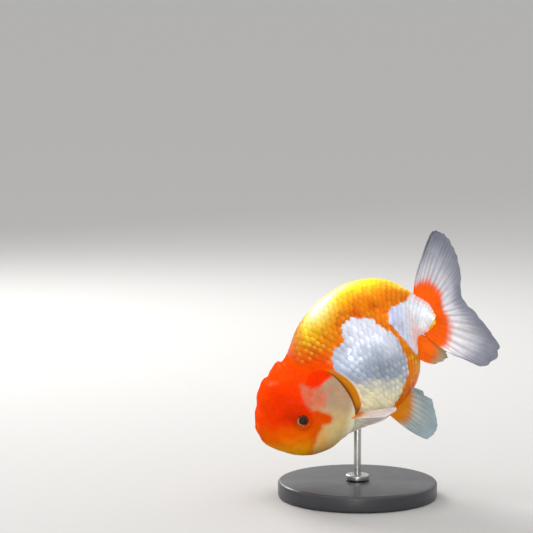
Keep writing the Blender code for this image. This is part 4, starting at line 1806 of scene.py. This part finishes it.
    def dress(
        self, mesh: bpy.types.Mesh, side: Side, roots: Array, local: Array, chance: np.random.Generator
    ) -> None:
        """Gives the scales their masks and map.

        Args:
            mesh: The joined scales.
            side: Which flank.
            roots: Where the scales sit.
            local: The template's points.
            chance: Random numbers.
        """
        count, reach = len(roots), self.reach(local)
        place, angle = roots[:, 0] + 0.12, roots[:, 1]
        store(mesh, "Reach", np.tile(np.hypot(reach, 0.35 * local[:, 0] * reach), count))
        store(mesh, "Fan", np.tile(np.arctan2(local[:, 0], local[:, 1] - self.root + 0.2), count))
        store(mesh, "Spark", np.repeat(chance.random(count), len(local)))
        # Where on each scale its painted glint lies: a spot near the middle of its free edge.
        spot = bell(local[:, 0] + 0.1, 0.42) * smoothstep(0.55, 0.78, local[:, 1]) * (local[:, 2] > 0.5)
        store(mesh, "Glint", (self.glints(place, angle, chance)[:, None] * spot).ravel())
        middle = np.stack([0.5 - side.value * angle / math.tau, (place - 5.9) / 8.6], axis=1)
        unwrap(mesh, "OFBake", (middle[:, None, :] + self.patch / 2.0 * local[None, :, :2]).reshape(-1, 2))


# -------------------- the fins


class Ray(NamedTuple):
    """A key ray of a fin on the left side: its root, its tip and how far its middle bows."""

    name: str
    root: Place
    tip: Place
    bow: Place = (0.0, 0.0, 0.0)


TAIL_RAYS = (
    Ray("front edge", (31.0, -1.2, 108.4), (38.8, -2.8, 139.4), (-2.4, -0.3, -0.6)),
    Ray("upper tip", (33.0, -1.3, 107.2), (41.4, -3.6, 145.6), (-1.8, -0.6, 0.0)),
    Ray("crest", (34.6, -1.4, 106.0), (46.0, -5.6, 145.8), (-0.8, -0.9, 0.0)),
    Ray("upper rear", (35.8, -1.6, 104.4), (51.4, -9.0, 137.4), (0.0, -1.2, 0.0)),
    Ray("above the fork", (36.8, -1.8, 102.6), (54.0, -13.0, 126.0), (0.0, -1.5, 0.0)),
    Ray("fork", (37.4, -1.8, 100.8), (54.6, -17.0, 112.0), (0.0, -1.5, 0.0)),
    Ray("lower shoulder", (37.6, -1.8, 99.0), (62.8, -24.0, 101.4), (0.0, -1.5, 0.8)),
    Ray("lower tip", (37.2, -1.7, 96.8), (72.0, -31.0, 86.6), (0.0, -1.0, 0.4)),
    Ray("lower heel", (36.4, -1.6, 94.4), (64.6, -30.0, 76.6), (0.0, 0.0, -1.2)),
    Ray("lower edge", (34.4, -1.4, 92.2), (53.4, -23.0, 79.0), (0.0, 0.6, -1.6)),
)
ANAL_RAYS = (
    Ray("front edge", (26.0, -2.0, 84.0), (41.4, -7.5, 74.2), (-0.6, 0.0, -2.2)),
    Ray("middle", (27.5, -1.8, 88.0), (47.6, -9.5, 77.8), (0.0, 0.0, -0.6)),
    Ray("rear edge", (30.5, -1.6, 91.0), (47.0, -8.0, 83.6), (0.0, 0.0, 0.8)),
)
PELVIC_RAYS = (
    Ray("front edge", (14.0, -8.0, 49.0), (31.6, -16.0, 36.0), (0.6, -0.6, -1.6)),
    Ray("tip", (16.5, -7.4, 51.0), (36.4, -17.5, 34.8), (0.4, -0.6, -0.6)),
    Ray("rear corner", (20.5, -6.6, 55.0), (41.4, -16.5, 41.4), (0.0, -0.4, 0.6)),
    Ray("rear edge", (24.0, -5.6, 59.0), (39.0, -13.5, 55.8), (0.0, -0.2, 1.4)),
)
PECTORAL_RAYS = (
    Ray("front edge", (-8.6, -18.0, 47.2), (9.6, -35.0, 50.4), (-2.6, -1.6, 0.0)),
    Ray("tip", (-7.2, -18.0, 48.2), (14.6, -35.0, 53.4), (-1.2, -1.2, 0.0)),
    Ray("rear corner", (-5.6, -18.0, 49.2), (16.0, -30.0, 54.6), (0.0, -1.6, 0.2)),
    Ray("rear edge", (-3.8, -18.0, 50.2), (11.6, -26.6, 53.6), (0.0, -1.8, 0.2)),
)


@dataclass(frozen=True)
class Fin:
    """A fin on one side: membrane over rays that branch twice towards the margin.

    The orange at its root reaches as far as root_reach says, read over the key rays. The scallops of
    its margin are given as their depth, where they begin and end over the rays, and their number.
    """

    name: str
    keys: tuple[Ray, ...]
    ray_count: int
    columns: int
    rows: int
    root_reach: tuple[float, ...]
    root_colour: str
    near_colour: str
    web_colour: str
    margin_colour: str
    line_colour: str
    border: float = 0.08
    teeth: float = 0.006
    scallops: tuple[float, float, float, float] = (0.0, 0.0, 1.0, 1.0)
    pleat: float = 0.05
    sway: float = 0.5
    web_thickness: float = 0.22
    ray_thickness: float = 0.22
    root_thickness: float = 0.7
    line: float = 0.5
    seed: int = 0

    def surface(self, across: Array, along: Array) -> Array:
        """Points of the fin's middle surface, smooth and without its rays.

        Args:
            across: 0 to 1 over the rays.
            along: 0 at the root to 1 at the margin.

        Returns:
            One row for each point, in millimetres, on the left side.
        """
        place = across * (len(self.keys) - 1)
        parts = []
        for field in ("root", "tip", "bow"):
            columns = np.array([getattr(ray, field) for ray in self.keys])
            parts.append(np.stack([spline(columns[:, axis], place) for axis in range(3)], axis=-1))
        root, tip, bow = parts
        along = along[..., None]
        return root + (tip - root) * along + bow * (4.0 * along * (1.0 - along))

    def normals(self, across: Array, along: Array) -> Array:
        """Which way the middle surface faces.

        Args:
            across: 0 to 1 over the rays.
            along: 0 at the root to 1 at the margin.

        Returns:
            Unit vectors, one row for each point.
        """
        step = 0.004
        fore, aft = np.maximum(across - step, 0.0), np.minimum(across + step, 1.0)
        over_rays = self.surface(aft, along) - self.surface(fore, along)
        out = self.surface(across, along + step) - self.surface(across, along - step)
        normal = np.cross(over_rays, out)
        return normal / np.maximum(np.linalg.norm(normal, axis=1, keepdims=True), 1e-9)

    def off_ray(self, across: Array) -> Array:
        """How far each point is beside its ray, as a share of the rays' spacing."""
        return np.mod(across * self.ray_count, 1.0) - 0.5

    def ridges(self, across: Array, along: Array) -> tuple[Array, Array]:
        """Where the rays and the lines between them run.

        Args:
            across: 0 to 1 over the rays.
            along: 0 at the root to 1 at the margin.

        Returns:
            How much of a ray there is at each point, and how much of a dark line.
        """
        inside = self.off_ray(across)
        fork = 0.25 * smoothstep(0.3, 0.95, along)
        again = 0.11 * smoothstep(0.62, 1.05, along)
        away = np.abs(np.abs(np.abs(inside) - fork) - again)
        ray = bell(away, 0.20 - 0.12 * smoothstep(0.1, 0.9, along))
        between = bell(0.5 - np.abs(inside), 0.1) * (1.0 - 0.85 * smoothstep(0.5, 0.9, along))
        middle = bell(inside, 0.07) * smoothstep(0.4, 0.65, along) * fade(0.7, 0.95, along)
        strands = flutter(across * self.ray_count * 0.7, 1.0, self.seed + 9)
        return ray, np.maximum(between, 0.35 * middle) * np.clip(0.75 + 0.5 * strands, 0.2, 1.0)

    def margin(self, across: Array) -> Array:
        """How far the fin's edge stands out beyond its key rays' tips, as a share of their length."""
        depth, first, last, count = self.scallops
        part = (across - first) / (last - first)
        lobes = np.abs(np.sin(math.pi * count * part)) ** 0.7 - 0.7
        within = smoothstep(first - 0.04, first + 0.04, across) * fade(last - 0.04, last + 0.04, across)
        line = across * 60.0
        worn = 0.5 * flutter(line, 1.7, self.seed) + 0.8 * flutter(line, 5.0, self.seed + 1)
        return self.teeth * (np.cos(math.tau * self.off_ray(across)) + worn) + depth * lobes * within

    def swayed(self, across: Array, along: Array) -> Array:
        """The membrane's pleats and waves.

        Args:
            across: 0 to 1 over the rays.
            along: 0 at the root to 1 at the margin.

        Returns:
            How far each point stands off the middle surface, in millimetres.
        """
        slow, quick = (
            ripple(np.stack([across * swells, along * 2.0, 0 * across], axis=1), 1.0, self.seed + turn)
            for swells, turn in ((9.0, 5), (22.0, 6))
        )
        fold = self.pleat * np.cos(math.tau * self.off_ray(across)) * bell(along - 0.62, 0.24)
        return fold + self.sway * (slow + 0.45 * quick) * smoothstep(0.2, 1.0, along)

    def thickness(self, along: Array, ray: Array) -> Array:
        """How thick the fin is: most at its root and on its rays, least at its margin."""
        more = self.ray_thickness * ray * (1.0 - 0.6 * along) + self.root_thickness * fade(0.0, 0.35, along)
        return (self.web_thickness + more) * (1.0 - 0.45 * smoothstep(0.9, 1.0, along))

    def build(self, side: Side, material: bpy.types.Material) -> bpy.types.Object:
        """Makes the fin on one side.

        Args:
            side: Which side.
            material: Its finish.

        Returns:
            The piece.
        """
        title = f"{self.name}_{side.word}"
        mesh = plate(title, self.columns, self.rows)
        grid = coordinates(mesh)
        across, along = (grid[:, 0] + 1.0) / 2.0, (grid[:, 1] + 1.0) / 2.0
        ray, line = self.ridges(across, along)
        stretched = along * (1.0 + self.margin(across) * smoothstep(0.6, 1.0, along))
        off = self.swayed(across, along) + (grid[:, 2] - 0.5) * self.thickness(along, ray)
        points = self.surface(across, stretched) + self.normals(across, stretched) * off[:, None]
        points[:, 1] *= -side.value
        place_points(mesh, points)
        rooted = self.rooted(across, along, points)
        store(mesh, "Ray", ray)
        store(mesh, "Reach", along)
        store(mesh, "Solid", np.maximum(fade(0.0, 0.3, along), 0.95 * rooted))
        store(mesh, "Markings", self.paint(across, along, ray, line, rooted))
        return finished(mesh, f"{title}_web", material, "fin", title, crease=60.0)

    def root_line(self, across: Array) -> Array:
        """How far the root's colour reaches along the rays."""
        return spline(self.root_reach, across * (len(self.root_reach) - 1))

    def rooted(self, across: Array, along: Array, points: Array) -> Array:
        """Where the root's colour is.

        Args:
            across: 0 to 1 over the rays.
            along: 0 at the root to 1 at the margin.
            points: Places in millimetres.

        Returns:
            How much of it there is at each point, from 0 to 1.
        """
        reach = self.root_line(across) + 0.025 * ripple(points, 2.4, self.seed + 3)
        reach = reach + 0.009 * flutter(across * self.ray_count * 2.0, 1.0, self.seed + 4)
        return fade(reach - self.border / 2.0, reach + self.border, along)

    def paint(self, across: Array, along: Array, ray: Array, line: Array, rooted: Array) -> Array:
        """The fin's colours.

        Args:
            across: 0 to 1 over the rays.
            along: 0 at the root to 1 at the margin.
            ray: How much of a ray there is at each point.
            line: How much of a dark line.
            rooted: How much of the root's colour.

        Returns:
            Linear colours, one row for each point.
        """
        share = 0.45 + 0.5 * smoothstep(0.4, 0.66, across)
        near = over(colour(self.web_colour), self.near_colour, share)
        web = over(near, self.web_colour, smoothstep(0.08, 0.5, along - self.root_line(across)))
        web = over(web, self.margin_colour, smoothstep(0.62, 1.0, along))
        web = web * (0.94 + 0.12 * ray * (1.0 - 0.8 * smoothstep(0.4, 0.85, along)))[:, None]
        web = over(web, self.line_colour, self.line * line)
        base = colour(self.root_colour) * (0.99 + 0.02 * ray - 0.06 * line)[:, None]
        return blend(web, base, rooted)


TAIL = Fin(
    name="tail_fin",
    keys=TAIL_RAYS,
    ray_count=20,
    columns=320,
    rows=56,
    root_reach=(0.28, 0.30, 0.33, 0.36, 0.42, 0.45, 0.38, 0.33, 0.38, 0.5),
    root_colour="FA6002",
    near_colour="FBF8FC",
    web_colour="ABADBC",
    margin_colour="7E8290",
    line_colour="5A6070",
    border=0.1,
    sway=0.75,
    root_thickness=0.4,
    line=0.42,
    scallops=(0.03, 0.6, 0.86, 4.0),
    seed=3,
)
ANAL = Fin(
    name="anal_fin",
    keys=ANAL_RAYS,
    ray_count=8,
    columns=112,
    rows=36,
    root_reach=(0.86, 0.68, 0.66),
    root_colour="F86A02",
    near_colour="E0A040",
    web_colour="8C7850",
    margin_colour="B0A484",
    line_colour="8A5A28",
    border=0.2,
    teeth=0.01,
    scallops=(0.045, 0.15, 1.0, 3.0),
    sway=0.3,
    root_thickness=0.6,
    seed=13,
)
PELVIC = Fin(
    name="pelvic_fin",
    keys=PELVIC_RAYS,
    ray_count=11,
    columns=154,
    rows=44,
    root_reach=(0.36, 0.38, 0.36, 0.3),
    root_colour="CC7C0A",
    near_colour="B4BCB8",
    web_colour="8EA0A6",
    margin_colour="98AAB2",
    line_colour="74838C",
    border=0.16,
    sway=0.35,
    line=0.22,
    seed=23,
)
PECTORAL = Fin(
    name="pectoral_fin",
    keys=PECTORAL_RAYS,
    ray_count=10,
    columns=120,
    rows=40,
    root_reach=(0.34, 0.3, 0.24, 0.2),
    root_colour="EE8A18",
    near_colour="FAE8DC",
    web_colour="F2E2DC",
    margin_colour="EAE2E4",
    line_colour="B49CA4",
    border=0.16,
    sway=0.25,
    line=0.35,
    root_thickness=0.6,
    seed=33,
)


# -------------------- stand and studio


@dataclass(frozen=True)
class Stand:
    """The plain display stand: a round base, a collar and one short rod, turned finely."""

    base_radius: float = 44.0
    base_height: float = 9.0
    base_bevel: float = 1.6
    collar_radius: float = 6.5
    collar_height: float = 3.0
    collar_bevel: float = 0.6
    rod_radius: float = 2.0
    rod_foot: float = 4.0
    rod_top: float = 41.0
    clearance: float = 0.3
    steps: int = 128

    def turned(
        self, name: str, outline: tuple[Spot, ...], bevel: float, material: bpy.types.Material, slot: str
    ) -> bpy.types.Object:
        """Spins an outline into a round piece.

        Args:
            name: The solid that it replaces.
            outline: Radius and height of each corner, from the axis or round a bore.
            bevel: How much its second and third corners are rounded, in millimetres; 0 for not.
            material: The piece's finish.
            slot: Its material slot's name; not used.

        Returns:
            The piece.
        """
        bm = bmesh.new()
        verts = [bm.verts.new((radius * MM, 0.0, height * MM)) for radius, height in outline]
        loop = verts if outline[0][0] == 0.0 else verts + verts[:1]
        for pair in zip(loop, loop[1:]):
            bm.edges.new(pair)
        if bevel:
            form = {"segments": 5, "profile": 0.5, "affect": "VERTICES", "material": -1}
            bmesh.ops.bevel(bm, geom=verts[1:3], offset=bevel * MM, **form)
        mesh = spun(bm, f"{name}_turned", self.steps, 1e-6)
        return finished(mesh, mesh.name, material, slot, name, crease=30.0)

    def build(self) -> None:
        """Makes the three pieces."""
        paint, steel = PaintedMetal().build(), BrushedSteel().build()
        wide, bore, rod = self.base_radius, self.rod_radius + self.clearance, self.rod_radius
        foot, top = self.rod_foot - self.clearance, self.base_height
        base = ((0.0, 0.0), (wide, 0.0), (wide, top), (bore, top), (bore, foot), (0.0, foot))
        self.turned("stand_base", base, self.base_bevel, paint, "stand_paint")
        low = top + self.clearance
        high = low + self.collar_height
        collar = ((bore, low), (self.collar_radius, low), (self.collar_radius, high), (bore, high))
        self.turned("stand_collar", collar, self.collar_bevel, steel, "stand_steel")
        post = ((0.0, self.rod_foot), (rod, self.rod_foot), (rod, self.rod_top), (0.0, self.rod_top))
        self.turned("stand_rod", post, 0.0, steel, "stand_steel")


@dataclass(frozen=True)
class Studio:
    """A pale floor that curves up all round, soft lights and the camera. Its lengths are in metres."""

    flat_radius: float = 1.2
    radius: float = 7.0
    rise: float = 1.5
    floor_rings: int = 24
    floor_steps: int = 96
    middle: Place = (0.0, 0.0, 0.08)
    beam_softness: float = 0.04
    daylight: float = 0.95
    lens: float = 135.0
    sensor: float = 36.0
    camera_place: Place = (-0.1638, -1.0771, 0.2422)
    azimuth: float = -6.0
    elevation: float = 6.0

    def floor(self) -> None:
        """Spins the floor's profile: flat under the stand, then rising gently all round."""
        bm = bmesh.new()
        slope = self.radius - self.flat_radius
        rings = [0.0, self.flat_radius / 2.0]
        rings += [self.flat_radius + slope * step / self.floor_rings for step in range(self.floor_rings + 1)]
        steep = self.rise / slope**2
        verts = [bm.verts.new((ring, 0.0, steep * max(0.0, ring - self.flat_radius) ** 2)) for ring in rings]
        for pair in zip(verts, verts[1:]):
            bm.edges.new(pair)
        mesh = spun(bm, "floor", self.floor_steps, 1e-5)
        mesh.shade_smooth()
        mesh.materials.append(Backdrop().build())
        floor = bpy.data.objects.new("floor", mesh)
        bpy.context.scene.collection.objects.link(floor)

    def hang(self, name: str, data: bpy.types.ID, place: Place, way: Vector) -> bpy.types.Object:
        """Puts a lamp or the camera in the scene.

        Args:
            name: The object's name.
            data: The lamp or the camera.
            place: Where it goes.
            way: The direction that it looks in.

        Returns:
            The object.
        """
        thing = bpy.data.objects.new(name, data)
        thing.location = place
        thing.rotation_euler = way.to_track_quat("-Z", "Y").to_euler()
        bpy.context.scene.collection.objects.link(thing)
        return thing

    def light(self, name: str, place: Place, size: float, power: float, warmth: str) -> None:
        """Adds a square soft light that faces the fish.

        Args:
            name: The light's name.
            place: Where it hangs.
            size: Its side.
            power: Its power, in watts.
            warmth: Its colour.
        """
        lamp = bpy.data.lights.new(name, "AREA")
        lamp.shape, lamp.size, lamp.energy = "SQUARE", size, power
        lamp.color = tuple(colour(warmth))
        self.hang(name, lamp, place, Vector(self.middle) - Vector(place))

    def beam(self, name: str, place: Place, target: Place, width: float, power: float) -> None:
        """Adds a narrow soft beam that lifts one part of the fish.

        Args:
            name: The light's name.
            place: Where it stands.
            target: What it faces.
            width: The angle it opens, in degrees.
            power: Its power, in watts.
        """
        lamp = bpy.data.lights.new(name, "SPOT")
        lamp.spot_size, lamp.spot_blend, lamp.energy = math.radians(width), 1.0, power
        lamp.shadow_soft_size = self.beam_softness
        self.hang(name, lamp, place, Vector(target) - Vector(place))

    def build(self) -> None:
        """Makes floor, lights and camera."""
        self.floor()
        self.light("top", (-0.15, 0.1, 1.1), 0.8, 2.8, "FFFFFF")
        self.light("glare", (-0.45, 0.9, 0.8), 0.55, 13.0, "FFFFFF")
        self.light("fill", (-0.3, -1.4, 0.34), 1.1, 3.0, "FFFDF8")
        self.light("under", (-0.15, -0.9, 0.06), 0.12, 0.7, "FFFDF4")
        self.beam("breast", (-0.12, -0.62, 0.025), (-0.002, 0.0, 0.042), 6.5, 7.0)
        self.beam("tail", (0.3, -0.95, 0.42), (0.043, 0.0, 0.098), 5.0, 16.0)
        self.light("rear", (0.9, 0.5, 0.9), 0.7, 1.6, "F4F8FF")
        world = bpy.data.worlds.new("studio")
        bpy.context.scene.world = world
        world.use_nodes = True
        back = world.node_tree.nodes["Background"]
        back.inputs["Color"].default_value = (1.0, 1.0, 1.0, 1.0)
        back.inputs["Strength"].default_value = self.daylight
        bpy.context.scene.view_settings.view_transform = "Standard"
        self.camera()

    def camera(self) -> None:
        """Sets the camera a little above the fish, and a little to its front."""
        data = bpy.data.cameras.new("camera")
        data.lens, data.sensor_width = self.lens, self.sensor
        data.clip_start, data.clip_end = 0.05, 30.0
        turn, tip = math.radians(self.azimuth), math.radians(self.elevation)
        look = Vector((-math.sin(turn) * math.cos(tip), math.cos(turn) * math.cos(tip), -math.sin(tip)))
        bpy.context.scene.camera = self.hang("camera", data, self.camera_place, look)


def main() -> None:
    """Builds the fish, its stand and the studio."""
    logging.basicConfig(level=logging.INFO, format="%(message)s")
    Studio().build()
    Skin().build(SkinFinish().build())
    eye = EyeFinish().build()
    scales = ScaleFinish().build()
    for side in Side:
        EYE.build(side, eye)
        ScaleCoat().build(side, scales)
    fins = {
        TAIL: FinFinish("tail_membrane"),
        ANAL: FinFinish("anal_membrane", 0.75, 0.95),
        PELVIC: FinFinish("pelvic_membrane", 0.7, 0.92),
        PECTORAL: FinFinish("pectoral_membrane", 0.5, 0.75),
    }
    for fin, finish in fins.items():
        material = finish.build()
        for side in Side:
            fin.build(side, material)
    Stand().build()


if __name__ == "__main__":
    main()
